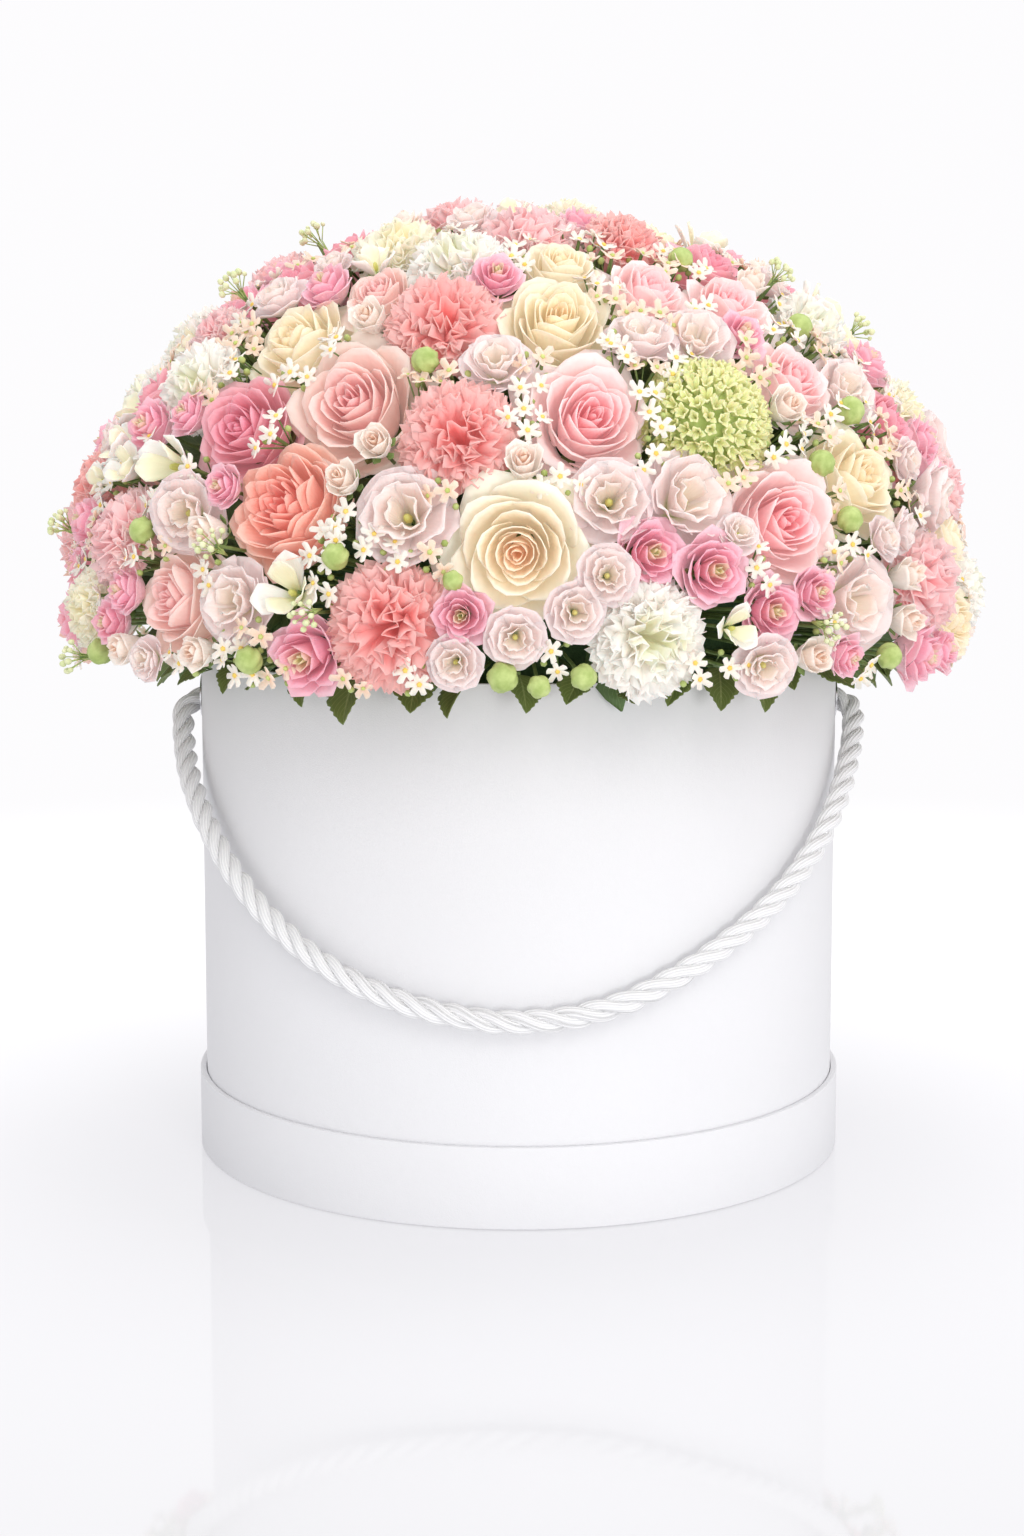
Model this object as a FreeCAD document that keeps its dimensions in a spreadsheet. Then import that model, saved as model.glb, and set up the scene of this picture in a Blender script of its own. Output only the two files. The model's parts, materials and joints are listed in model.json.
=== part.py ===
import FreeCAD, Part
import math
import os
import Sketcher

# A round flower box: a paper-wrapped hat box stands in its own lid, a rope handle
# hangs round its front, and a dome of flowers stands in foam in a pot inside it.
# Millimetres and degrees. +Z is up, the rope hangs on the -Y side, and the origin
# is the centre of the lid's underside. Azimuth is counted from -Y towards +X.

Vector = FreeCAD.Vector
doc = FreeCAD.newDocument("flower_box")
sheet = doc.addObject("Spreadsheet::Sheet", "sizes")

SIZES = {
    # board and paper
    "board": 2.5,
    "paper": 0.4,
    "box_radius": 175.0,
    "box_top": 274.0,
    "box_turn_in": 14.0,
    "lid_gap": 0.8,
    "lid_height": 42.0,
    "lid_turn_in": 10.0,
    # rope holes, eyelets, rope and knots
    "hole_height": 248.0,
    "hole_radius": 8.2,
    "drill_overrun": 10.0,
    "eyelet_bore": 7.2,
    "eyelet_barrel": 8.1,
    "eyelet_flange": 12.5,
    "eyelet_lip": 0.8,
    "rope_radius": 6.0,
    "knot_radius": 12.5,
    "knot_inset": 1.2,
    # pot and foam
    "liner_radius": 140.0,
    "liner_wall": 0.8,
    "liner_top": 262.0,
    "foam_gap": 0.3,
    "foam_dome_radius": 130.0,
    "foam_dome_height": 170.0,
    # the dome of flowers
    "dome_middle": 300.0,
    "dome_radius": 250.0,
    "dome_height": 217.0,
    "lowest_edge": 275.0,
    "bloom_gap": 0.5,
    # half widths of the flower heads, and half depth as a share of them
    "rose": 27.0,
    "garden_rose": 29.0,
    "carnation": 27.0,
    "pompon": 25.0,
    "snowball": 30.0,
    "stock": 20.0,
    "freesia": 16.0,
    "spray_rose": 15.0,
    "rosebud": 10.0,
    "waxflower": 5.6,
    "waxflower_depth": 3.0,
    "waxflower_spacing": 11.9,
    "green_bud": 6.5,
    "sprig_bud": 5.0,
    "sprig_spacing": 60.0,
    "sprig_above_dome": 7.0,
    "smallest_large_filler": 19.0,
    "smallest_filler": 8.5,
    "head_depth": 0.78,
    # stems and leaves
    "stem_radius": 2.2,
    "thin_stem_radius": 0.9,
    "stem_end": 90.0,
    "leaf_thickness": 0.8,
    "leaf_length": 40.0,
    "leaf_width": 19.0,
    "leaf_below_head": 44.0,
    "leaf_tilt": 35.0,
    "rim_leaf_length": 33.0,
    "rim_leaf_width": 20.0,
    "rim_leaf_start": 187.0,
    "rim_leaf_height": 280.5,
    "rim_stem_start": 108.0,
}
for row, (alias, value) in enumerate(SIZES.items(), start=1):
    sheet.set(f"A{row}", alias)
    sheet.set(f"B{row}", str(value))
    sheet.setAlias(f"B{row}", alias)
doc.recompute()


def size(alias):
    """The value that the sheet holds under this alias."""
    return float(sheet.get(alias))


NODES = []


def node(thing, label):
    """Name a finished sub-part, which is exported under its label."""
    thing.Label = label
    NODES.append(thing)
    return thing


def primitive(kind, name, place=None, **bindings):
    """A Part primitive whose properties are bound to expressions on the sheet."""
    thing = doc.addObject(kind, name)
    for prop, expression in bindings.items():
        thing.setExpression(prop, expression)
    if place is not None:
        thing.Placement = place
    return thing


def turned(name, profile):
    """A body turned about Z from a closed profile of (radius, height) expressions."""
    body = doc.addObject("PartDesign::Body", name)
    sketch = body.newObject("Sketcher::SketchObject", name + "_profile")
    plane = next(f for f in body.Origin.OriginFeatures if f.Role == "XZ_Plane")
    sketch.AttachmentSupport = [(plane, "")]
    sketch.MapMode = "FlatFace"
    corners = []
    for radius, height in profile:
        corners.append(Vector(value_of(radius), value_of(height), 0))
    count = len(corners)
    for i in range(count):
        sketch.addGeometry(Part.LineSegment(corners[i], corners[(i + 1) % count]), False)
    for i in range(count):
        sketch.addConstraint(Sketcher.Constraint("Coincident", i, 2, (i + 1) % count, 1))
    for i, (radius, height) in enumerate(profile):
        if value_of(radius) == 0:
            sketch.addConstraint(Sketcher.Constraint("PointOnObject", i, 1, -2))
        else:
            where = sketch.addConstraint(Sketcher.Constraint("DistanceX", -1, 1, i, 1, corners[i].x))
            sketch.setExpression(f"Constraints[{where}]", radius)
        if value_of(height) == 0:
            sketch.addConstraint(Sketcher.Constraint("PointOnObject", i, 1, -1))
        else:
            where = sketch.addConstraint(Sketcher.Constraint("DistanceY", -1, 1, i, 1, corners[i].y))
            sketch.setExpression(f"Constraints[{where}]", height)
    turn = body.newObject("PartDesign::Revolution", name + "_turn")
    turn.Profile = sketch
    turn.ReferenceAxis = (sketch, ["V_Axis"])
    turn.Angle = 360
    return body


def value_of(expression):
    """The number that an expression on the sheet gives."""
    return float(sheet.evalExpression(expression.replace("sizes.", "")))


def drilled(name, body):
    """A wall with the two rope holes bored through it along X."""
    drill = primitive(
        "Part::Cylinder", name + "_drill",
        Radius="sizes.hole_radius", Height="2 * sizes.box_radius + 2 * sizes.drill_overrun",
    )
    half = size("box_radius") + size("drill_overrun")
    drill.Placement = FreeCAD.Placement(
        Vector(-half, 0, size("hole_height")), FreeCAD.Rotation(Vector(0, 1, 0), 90)
    )
    cut = doc.addObject("Part::Cut", name + "_drilled")
    cut.Base = body
    cut.Tool = drill
    return cut


# ---------------------------------------------------------------- the lid
node(turned("lid_disc_body", [
    ("0", "sizes.paper"),
    ("sizes.box_radius + sizes.lid_gap", "sizes.paper"),
    ("sizes.box_radius + sizes.lid_gap", "sizes.paper + sizes.board"),
    ("0", "sizes.paper + sizes.board"),
]), "lid_disc")
node(turned("lid_rim_body", [
    ("sizes.box_radius + sizes.lid_gap", "sizes.paper"),
    ("sizes.box_radius + sizes.lid_gap + sizes.board", "sizes.paper"),
    ("sizes.box_radius + sizes.lid_gap + sizes.board", "sizes.lid_height - sizes.paper"),
    ("sizes.box_radius + sizes.lid_gap", "sizes.lid_height - sizes.paper"),
]), "lid_rim")
node(turned("lid_wrap_body", [
    ("0", "0"),
    ("sizes.box_radius + sizes.lid_gap + sizes.board + sizes.paper", "0"),
    ("sizes.box_radius + sizes.lid_gap + sizes.board + sizes.paper", "sizes.lid_height"),
    ("sizes.box_radius + sizes.lid_gap - sizes.paper", "sizes.lid_height"),
    ("sizes.box_radius + sizes.lid_gap - sizes.paper", "sizes.lid_height - sizes.lid_turn_in"),
    ("sizes.box_radius + sizes.lid_gap", "sizes.lid_height - sizes.lid_turn_in"),
    ("sizes.box_radius + sizes.lid_gap", "sizes.lid_height - sizes.paper"),
    ("sizes.box_radius + sizes.lid_gap + sizes.board", "sizes.lid_height - sizes.paper"),
    ("sizes.box_radius + sizes.lid_gap + sizes.board", "sizes.paper"),
    ("0", "sizes.paper"),
]), "lid_wrap")

# ---------------------------------------------------------------- the box
node(turned("box_base_body", [
    ("0", "sizes.paper + sizes.board"),
    ("sizes.box_radius - sizes.paper - sizes.board", "sizes.paper + sizes.board"),
    ("sizes.box_radius - sizes.paper - sizes.board", "sizes.paper + 2 * sizes.board"),
    ("0", "sizes.paper + 2 * sizes.board"),
]), "box_base")
node(drilled("box_wall", turned("box_wall_body", [
    ("sizes.box_radius - sizes.paper - sizes.board", "sizes.paper + sizes.board"),
    ("sizes.box_radius - sizes.paper", "sizes.paper + sizes.board"),
    ("sizes.box_radius - sizes.paper", "sizes.box_top - sizes.paper"),
    ("sizes.box_radius - sizes.paper - sizes.board", "sizes.box_top - sizes.paper"),
])), "box_wall")
node(drilled("box_wrap", turned("box_wrap_body", [
    ("sizes.box_radius - sizes.paper", "sizes.paper + sizes.board"),
    ("sizes.box_radius", "sizes.paper + sizes.board"),
    ("sizes.box_radius", "sizes.box_top"),
    ("sizes.box_radius - 2 * sizes.paper - sizes.board", "sizes.box_top"),
    ("sizes.box_radius - 2 * sizes.paper - sizes.board", "sizes.box_top - sizes.box_turn_in"),
    ("sizes.box_radius - sizes.paper - sizes.board", "sizes.box_top - sizes.box_turn_in"),
    ("sizes.box_radius - sizes.paper - sizes.board", "sizes.box_top - sizes.paper"),
    ("sizes.box_radius - sizes.paper", "sizes.box_top - sizes.paper"),
])), "box_wrap")

# The eyelets: a barrel through the wall with a flat flange on each side of it. The
# flanges stand off the round wall by its sagitta at their edge.
wall_inside = size("box_radius") - size("paper") - size("board")
sagitta_clearance = 0.1
flange_inside = math.sqrt(wall_inside ** 2 - size("eyelet_flange") ** 2) - sagitta_clearance
flange_outside = size("box_radius") + sagitta_clearance


def eyelet(label, side):
    """One eyelet, turned about the rope's axis on the given side of the box."""
    lip, inner = size("eyelet_lip"), flange_inside
    outer, flange = flange_outside, size("eyelet_flange")
    bore, barrel = size("eyelet_bore"), size("eyelet_barrel")
    points = [
        (inner - lip, bore), (outer + lip, bore), (outer + lip, flange), (outer, flange),
        (outer, barrel), (inner, barrel), (inner, flange), (inner - lip, flange),
    ]
    height = size("hole_height")
    outline = [Vector(side * x, 0, height + radius) for x, radius in points]
    face = Part.Face(Part.makePolygon(outline + outline[:1]))
    thing = doc.addObject("Part::Feature", label)
    thing.Shape = face.revolve(Vector(0, 0, height), Vector(1, 0, 0), 360)
    node(thing, label)


# ---------------------------------------------------------------- the rope handle
# The rope leaves an eyelet straight along X, bends down at once, and lies round the
# front of the wall in one sagging loop. Angle from the left hole towards the front,
# and height, chosen so that the loop hangs unevenly, as soft rope does.
ROPE_STAND_OFF = 10.3
ROPE_LOOP = [
    (8, 227), (17, 210), (28, 188), (39, 163), (51, 140.5), (63, 123), (76, 111.5),
    (89, 106.5), (102, 110.5), (114, 124), (126, 142), (137, 160), (148, 182), (158, 204.5),
    (169, 227),
]
ROPE_EXIT_X = 186.5


def rope_points():
    """The rope's route from the left knot to the right one."""
    height = size("hole_height")
    around = size("box_radius") + ROPE_STAND_OFF
    points = [Vector(-knot_centre_x(), 0, height), Vector(-ROPE_EXIT_X, 0, height)]
    for angle, z in ROPE_LOOP:
        turn = math.radians(angle)
        points.append(Vector(-around * math.cos(turn), -around * math.sin(turn), z))
    points += [Vector(ROPE_EXIT_X, 0, height), Vector(knot_centre_x(), 0, height)]
    return points


def rounded_path(points, share=0.45):
    """Straight runs between the points, joined by tangent arcs as large as they allow."""
    edges, here, radii = [], points[0], []
    for before, corner, after in zip(points, points[1:], points[2:]):
        run_in, run_out = corner - before, after - corner
        half_turn = run_in.getAngle(run_out) / 2
        setback = share * min(run_in.Length, run_out.Length)
        radii.append(setback / math.tan(half_turn))
        start = corner - run_in.normalize() * setback
        end = corner + run_out.normalize() * setback
        inward = (run_out - run_in).normalize()
        to_arc = radii[-1] / math.cos(half_turn) - radii[-1]
        middle = corner + inward * to_arc
        edges.append(Part.LineSegment(here, start).toShape())
        edges.append(Part.Arc(start, middle, end).toShape())
        here = end
    edges.append(Part.LineSegment(here, points[-1]).toShape())
    print("rope radii", [round(radius) for radius in radii])
    return Part.Wire(edges)


def rope():
    """The rope's tube along its route."""
    route = rounded_path(rope_points())
    start = route.Vertexes[0].Point
    radius = size("rope_radius")
    section = Part.Wire(Part.makeCircle(radius, start, Vector(-1, 0, 0)))
    tube = route.makePipeShell([section], True, True)
    thing = doc.addObject("Part::Feature", "rope_handle")
    thing.Shape = tube
    node(thing, "rope_handle")
    expected = math.pi * radius ** 2 * route.Length
    print("rope length", round(route.Length, 1), "volume share", round(tube.Volume / expected, 4))


def knot_centre_x():
    """How far a knot's middle stands from the box's axis, just inside its eyelet."""
    return flange_inside - size("eyelet_lip") - size("knot_inset") - size("knot_radius")


def knot(label, side):
    """The rope's end knot, a ball against the eyelet's inner flange."""
    place = FreeCAD.Placement(
        Vector(side * knot_centre_x(), 0, size("hole_height")),
        FreeCAD.Rotation(Vector(0, 1, 0), 90),
    )
    node(primitive("Part::Sphere", label, place, Radius="sizes.knot_radius"), label)


for side, word in ((-1, "left"), (1, "right")):
    eyelet("eyelet_" + word, side)
    knot("rope_knot_" + word, side)
rope()

# ---------------------------------------------------------------- pot and foam
node(turned("liner_body", [
    ("0", "sizes.paper + 2 * sizes.board"),
    ("sizes.liner_radius", "sizes.paper + 2 * sizes.board"),
    ("sizes.liner_radius", "sizes.liner_top"),
    ("sizes.liner_radius - sizes.liner_wall", "sizes.liner_top"),
    ("sizes.liner_radius - sizes.liner_wall", "sizes.paper + 2 * sizes.board + sizes.liner_wall"),
    ("0", "sizes.paper + 2 * sizes.board + sizes.liner_wall"),
]), "liner")
node(turned("foam_base_body", [
    ("0", "sizes.paper + 2 * sizes.board + sizes.liner_wall"),
    ("sizes.liner_radius - sizes.liner_wall - sizes.foam_gap",
     "sizes.paper + 2 * sizes.board + sizes.liner_wall"),
    ("sizes.liner_radius - sizes.liner_wall - sizes.foam_gap", "sizes.liner_top"),
    ("0", "sizes.liner_top"),
]), "foam_base")
foam_dome = primitive(
    "Part::Ellipsoid", "foam_dome_shape",
    Radius1="sizes.foam_dome_height", Radius2="sizes.foam_dome_radius",
    Radius3="sizes.foam_dome_radius",
)
foam_dome.Angle1 = 0
foam_dome.Placement = FreeCAD.Placement(Vector(0, 0, size("liner_top")), FreeCAD.Rotation())
node(foam_dome, "foam_dome")

# ---------------------------------------------------------------- the flowers
# Each kind has its size alias and its front heads as (azimuth, latitude, share of size).
# The back of the dome is planted like the front, turned half round and mirrored.
KINDS = {
    "roses_pink": "rose",
    "roses_cream": "rose",
    "roses_peach": "rose",
    "roses_mauve": "rose",
    "roses_blush": "rose",
    "garden_roses_coral": "garden_rose",
    "carnations_coral": "carnation",
    "carnations_pink": "carnation",
    "carnations_white": "carnation",
    "pompons_cream": "pompon",
    "snowballs_green": "snowball",
    "stocks_lilac": "stock",
    "freesias_white": "freesia",
    "spray_roses_pink": "spray_rose",
    "rosebuds_blush": "rosebud",
    "green_buds": "green_bud",
    "waxflowers": "waxflower",
    "bud_sprigs": "sprig_bud",
}
FRONT = {
    "roses_pink": [
        (10, 31, 1.08), (34, 16, 1.05), (29, 53.5, 0.85), (43, 51, 0.82), (46, 36, 0.8),
    ],
    "roses_cream": [(6, 47.5, 1.0), (50, 21, 0.97), (-38, 45, 1.0), (80, 42, 0.75), (72, 72, 0.8)],
    "roses_peach": [(1, 13, 1.12)],
    "roses_mauve": [
        (-41, 29.5, 0.95), (66, 29, 0.9), (-76, 66, 0.9), (-62, 57, 0.85), (62, 63, 0.9),
        (80, 54, 0.7),
    ],
    "roses_blush": [(-23.5, 34, 1.18), (-45, 4, 0.95), (-29, 51.5, 0.7)],
    "garden_roses_coral": [(-29, 17, 0.98)],
    "carnations_coral": [
        (-8, 28, 1.0), (-15, 4, 1.0), (-14, 46, 0.95), (36, 67, 0.75), (-80, 18, 0.85),
    ],
    "carnations_pink": [
        (2, 70, 0.95), (-52, 80, 0.9), (-60, 11, 0.95), (61, 5, 1.0), (80, 18, 0.75),
        (-64, 44, 0.6),
    ],
    "carnations_white": [
        (-18, 60.5, 0.9), (15, 1.5, 0.98), (67, 46, 0.85), (-57, 36, 0.85), (-84, 43, 0.8),
    ],
    "pompons_cream": [(-38, 66, 0.95), (-66, 2, 0.8), (82, 30, 0.8), (88, 82, 0.85)],
    "snowballs_green": [(27, 30, 1.0)],
    "stocks_lilac": [
        (19.5, 19, 1.02), (-13, 17, 0.95), (10, 17.5, 0.85), (18.5, 43.5, 0.75),
        (-4, 37, 0.72), (-45, 16, 0.8), (-34, 5, 0.85), (44, 4, 1.05), (56, 34, 0.8), (29, 42, 0.75),
    ],
    "freesias_white": [(-28, 6, 0.95), (-52, 22.5, 1.0), (-80, 31, 0.9)],
    "spray_roses_pink": [(16, 11, 0.9), (30, 3.5, 0.9), (-25.5, -3, 1.1), (-77, 6, 1.0), (-72, 51, 1.0)],
    "rosebuds_blush": [(36, -2.5, 1.0), (-54, -3, 0.9)],
    "green_buds": [(-2, -3, 1.1), (7, -4, 0.9), (3, -4, 0.8), (-7, 8, 0.7), (51, 30, 1.1)],
}
# What stands at the back where the front has the kind on the left.
BACK_KIND = {
    "roses_pink": "roses_blush",
    "roses_blush": "roses_pink",
    "roses_cream": "roses_mauve",
    "roses_mauve": "roses_cream",
    "carnations_coral": "carnations_pink",
    "carnations_pink": "carnations_coral",
    "garden_roses_coral": "roses_peach",
    "roses_peach": "garden_roses_coral",
}
LARGE_FILLERS = [
    "roses_cream", "carnations_pink", "roses_pink", "carnations_white", "roses_mauve",
    "garden_roses_coral", "roses_blush",
]
FILLERS = [
    "stocks_lilac", "spray_roses_pink", "freesias_white", "stocks_lilac", "rosebuds_blush",
    "spray_roses_pink", "green_buds",
]
SPREADING_ROUNDS = 60
NEIGHBOURHOOD = 90
FILLER_TRIES = 2500
WAXFLOWER_TRIES = 9000
LEAF_TURN = 137.5
RIM_LEAVES = 46
SPRIG_TRIES = 3000


class Head:
    """One flower head: its kind, its direction on the dome and its half width."""

    def __init__(self, kind, way, radius):
        self.kind = kind
        self.radius = radius
        self.turn_to(way)

    def turn_to(self, way):
        """Face this way, no lower than the flowers' lower edge allows."""
        lowest = size("lowest_edge") + self.radius - size("dome_middle")
        way.z = max(way.z, lowest / size("dome_height"))
        self.way = way.normalize()
        self.settle()

    def settle(self):
        """Sink the head so that its crown just reaches the dome."""
        sunk = size("head_depth") * self.radius
        self.place = dome_point(self.way, size("dome_radius") - sunk, size("dome_height") - sunk)
        self.outward = (self.place - DOME_MIDDLE).normalize()

    def stem_clearance(self, point, outward):
        """How far a stem that runs inward from the point passes from this head's side."""
        offset = self.place - point
        across = offset - outward * offset.dot(outward)
        return across.Length - self.radius


DOME_MIDDLE = Vector(0, 0, size("dome_middle"))


def dome_point(way, across, up):
    """The point on a dome of these half axes that lies in this direction."""
    return DOME_MIDDLE + Vector(way.x * across, way.y * across, way.z * up)


def direction(azimuth, latitude):
    turn, lift = math.radians(azimuth), math.radians(latitude)
    level = math.cos(lift)
    return Vector(math.sin(turn) * level, -math.cos(turn) * level, math.sin(lift))


def front_and_back():
    """Every head that is placed by hand, and its twin at the back."""
    planted = []
    for kind, places in FRONT.items():
        twin = BACK_KIND.get(kind, kind)
        for azimuth, latitude, share in places:
            planted.append(Head(kind, direction(azimuth, latitude), share * size(KINDS[kind])))
            way = direction(180 - azimuth, latitude)
            planted.append(Head(twin, way, share * size(KINDS[twin])))
    return planted


def overlap_of(first, second):
    """How far two heads run into each other, or one into the other's stem."""
    gap = size("bloom_gap")
    stem = size("thin_stem_radius") + gap
    return max(
        first.radius + second.radius + gap - first.place.distanceToPoint(second.place),
        stem - first.stem_clearance(second.place, second.outward),
        stem - second.stem_clearance(first.place, first.outward),
    )


def spread(planted):
    """Push heads that press on each other apart along the dome, the smaller one further."""
    easing = 0.5 / size("dome_radius")
    for _ in range(SPREADING_ROUNDS):
        moves = [Vector() for _ in planted]
        for i, first in enumerate(planted):
            for j in range(i):
                second = planted[j]
                overlap = overlap_of(first, second)
                if overlap > 0:
                    apart = (first.place - second.place).normalize() * (overlap * easing)
                    weight = first.radius ** 2 + second.radius ** 2
                    moves[i] += apart * (second.radius ** 2 / weight)
                    moves[j] -= apart * (first.radius ** 2 / weight)
        for head, move in zip(planted, moves):
            head.turn_to(head.way + move)


def trim(planted):
    """Shrink heads that still press on a neighbour, so that none overlap."""
    while True:
        shares = []
        for head in planted:
            share = 1.0
            for other in planted:
                if other is not head:
                    room = head.place.distanceToPoint(other.place) - size("bloom_gap")
                    share = min(share, room / (head.radius + other.radius))
            shares.append(share)
        if min(shares) >= 1.0:
            return
        for head, share in zip(planted, shares):
            if share < 1.0:
                head.radius *= 0.995 * share
                head.settle()


def stem_is_clear(head, planted):
    """Whether a head's stem runs inward past all the other heads."""
    stem = size("thin_stem_radius") + size("bloom_gap")
    others = [other for other in planted if other is not head]
    near = [other for other in others if other.place.distanceToPoint(head.place) < NEIGHBOURHOOD]
    return all(other.stem_clearance(head.place, head.outward) > stem for other in near)


def spiral(count):
    """Directions spread evenly over the dome, from its top down to its lower edge."""
    golden = math.pi * (3 - math.sqrt(5))
    floor = (size("lowest_edge") - size("dome_middle")) / size("dome_height")
    for i in range(count):
        up = 1 - (1 - floor) * (i + 0.5) / count
        level = math.sqrt(1 - up * up)
        yield Vector(math.sin(i * golden) * level, -math.cos(i * golden) * level, up)


def fill(planted, kinds, smallest, spacing, tries):
    """Put small heads in the gaps, each with a clear way inward for its stem."""
    added = []
    stem = size("thin_stem_radius") + size("bloom_gap")
    for way in spiral(tries):
        kind = kinds[len(added) % len(kinds)]
        new = Head(kind, way, smallest)
        near = [head for head in planted if head.place.distanceToPoint(new.place) < NEIGHBOURHOOD]
        if any(head.stem_clearance(new.place, new.outward) < stem for head in near):
            continue
        room = [head.place.distanceToPoint(new.place) - head.radius for head in near + added]
        room = min(room) - size("bloom_gap")
        crowded = any(head.place.distanceToPoint(new.place) < spacing for head in added)
        if room >= smallest and not crowded:
            new.radius = min(room, size(KINDS[kind]))
            added.append(new)
    return added


def facing(point, outward, spin=0.0):
    """A placement at the point whose +Z faces outward."""
    up = Vector(0, 0, 1)
    turn = FreeCAD.Rotation(up, outward).multiply(FreeCAD.Rotation(up, spin))
    return FreeCAD.Placement(point, turn)


def group(label, members):
    """One node that holds several separate solids."""
    together = doc.addObject("Part::Compound", label)
    together.Links = members
    node(together, label)


def copies(label, shape, places):
    """One node that holds a copy of the shape at each place."""
    thing = doc.addObject("Part::Feature", label)
    thing.Shape = Part.makeCompound([shape.transformed(place.Matrix, True) for place in places])
    node(thing, label)


def head_solid(head, alias):
    """A flower head's plain form: a ball flattened along the way it faces."""
    width = f"{head.radius / size(alias):.4f} * sizes.{alias}"
    return primitive(
        "Part::Ellipsoid", head.kind + "_head", facing(head.place, head.outward),
        Radius1=f"sizes.head_depth * {width}", Radius2=width, Radius3=width,
    )


def disc_solid(head, alias):
    """A waxflower's plain form: a small flat disc."""
    return primitive(
        "Part::Cylinder", head.kind + "_head", facing(head.place, head.outward),
        Radius="sizes." + alias, Height="sizes.waxflower_depth",
    )


def stem_solid(head, alias, sunk):
    """A straight stem from inside a head down into the foam."""
    foot = DOME_MIDDLE + head.outward * size("stem_end")
    stem = primitive(
        "Part::Cylinder", head.kind + "_stem", facing(foot, head.outward), Radius="sizes." + alias
    )
    stem.Height = head.place.distanceToPoint(foot) - sunk
    return stem


def leaf_blade(length, width):
    """A pointed leaf in the XZ plane, from the origin along +Z, thick along Y."""
    arcs = []
    for side in (1, -1):
        bulge = Vector(side * width / 2, 0, length / 2)
        arcs.append(Part.Arc(Vector(0, 0, 0), bulge, Vector(0, 0, length)).toShape())
    return Part.Face(Part.Wire(arcs)).extrude(Vector(0, size("leaf_thickness"), 0))


def leaf_on_stem(head, index):
    """Where a leaf grows on a flower's stem, leaning away from it to one side."""
    back = head.place.distanceToPoint(DOME_MIDDLE) - size("head_depth") * head.radius
    foot = DOME_MIDDLE + head.outward * (back - size("leaf_below_head"))
    lean = FreeCAD.Rotation(Vector(1, 0, 0), size("leaf_tilt"))
    return facing(foot, head.outward, index * LEAF_TURN).multiply(
        FreeCAD.Placement(Vector(0, 0, 0), lean)
    )


def fringe():
    """The uneven ring of leaves that lies over the rim, each on its thin stalk."""
    length = size("rim_leaf_start") - size("rim_stem_start")
    stalk = Part.makeCylinder(
        size("thin_stem_radius"), length, Vector(0, -length, 0), Vector(0, 1, 0)
    )
    blade = leaf_blade(size("rim_leaf_length"), size("rim_leaf_width"))
    root = Vector(0, size("rim_leaf_start"), size("rim_leaf_height"))
    blades, stalks = [], []
    for i in range(RIM_LEAVES):
        turn = 180 + 360 * i / RIM_LEAVES + 2.5 * math.sin(7 * i)
        droop = 26 + 8 * math.sin(5 * i)
        aside = 15 * math.sin(3 * i)
        around = FreeCAD.Placement(Vector(), FreeCAD.Rotation(Vector(0, 0, 1), turn))
        out = around.multiply(FreeCAD.Placement(root, FreeCAD.Rotation()))
        lean = FreeCAD.Rotation(Vector(0, 0, 1), aside).multiply(
            FreeCAD.Rotation(Vector(1, 0, 0), -90 - droop)
        )
        stalks.append(out)
        blades.append(out.multiply(FreeCAD.Placement(Vector(), lean)))
    copies("rim_leaves", blade, blades)
    copies("stems_rim_leaves", stalk, stalks)


planted = front_and_back()
spread(planted)
trim(planted)
planted = [head for head in planted if stem_is_clear(head, planted)]
planted += fill(planted, LARGE_FILLERS, size("smallest_large_filler"), 0, FILLER_TRIES)
planted += fill(planted, FILLERS, size("smallest_filler"), 0, FILLER_TRIES)
waxflowers = fill(
    planted, ["waxflowers"], size("waxflower"), size("waxflower_spacing"), WAXFLOWER_TRIES
)
sprigs = fill(
    planted + waxflowers, ["bud_sprigs"], size("sprig_bud"), size("sprig_spacing"), SPRIG_TRIES
)
print(len(planted), "heads,", len(waxflowers), "waxflowers,", len(sprigs), "sprigs")

for sprig in sprigs:
    sprig.place += sprig.outward * size("sprig_above_dome")
flowers = planted + waxflowers + sprigs
for kind, alias in KINDS.items():
    chosen = [head for head in flowers if head.kind == kind]
    solid = disc_solid if kind == "waxflowers" else head_solid
    group(kind, [solid(head, alias) for head in chosen])
    stem = "stem_radius" if size(alias) > size("stock") else "thin_stem_radius"
    group("stems_" + kind, [stem_solid(head, stem, 0.5 * head.radius) for head in chosen])

# ---------------------------------------------------------------- the leaves
blade = leaf_blade(size("leaf_length"), size("leaf_width"))
leafy = [head for head in flowers if size(KINDS[head.kind]) > size("stock")]
copies("foliage", blade, [leaf_on_stem(head, i) for i, head in enumerate(leafy)])
fringe()

# ---------------------------------------------------------------- export
doc.recompute()
for thing in doc.Objects:
    if "Invalid" in thing.State or "Error" in thing.State:
        raise RuntimeError(f"{thing.Label} failed: {thing.State}")
for thing in NODES:
    if thing.Shape.isNull() or not thing.Shape.isValid():
        raise RuntimeError(f"{thing.Label} has no valid shape")
os.makedirs("parts", exist_ok=True)
for thing in NODES:
    thing.Shape.exportStep(f"parts/{thing.Label}.step")
print(len(NODES), "nodes")
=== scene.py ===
"""A round flower box: a white paper hat box in its own lid, with a rope handle and a dome of flowers."""

import json
import math
import random

import bpy
import numpy as np
from mathutils import Matrix, Vector

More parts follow.
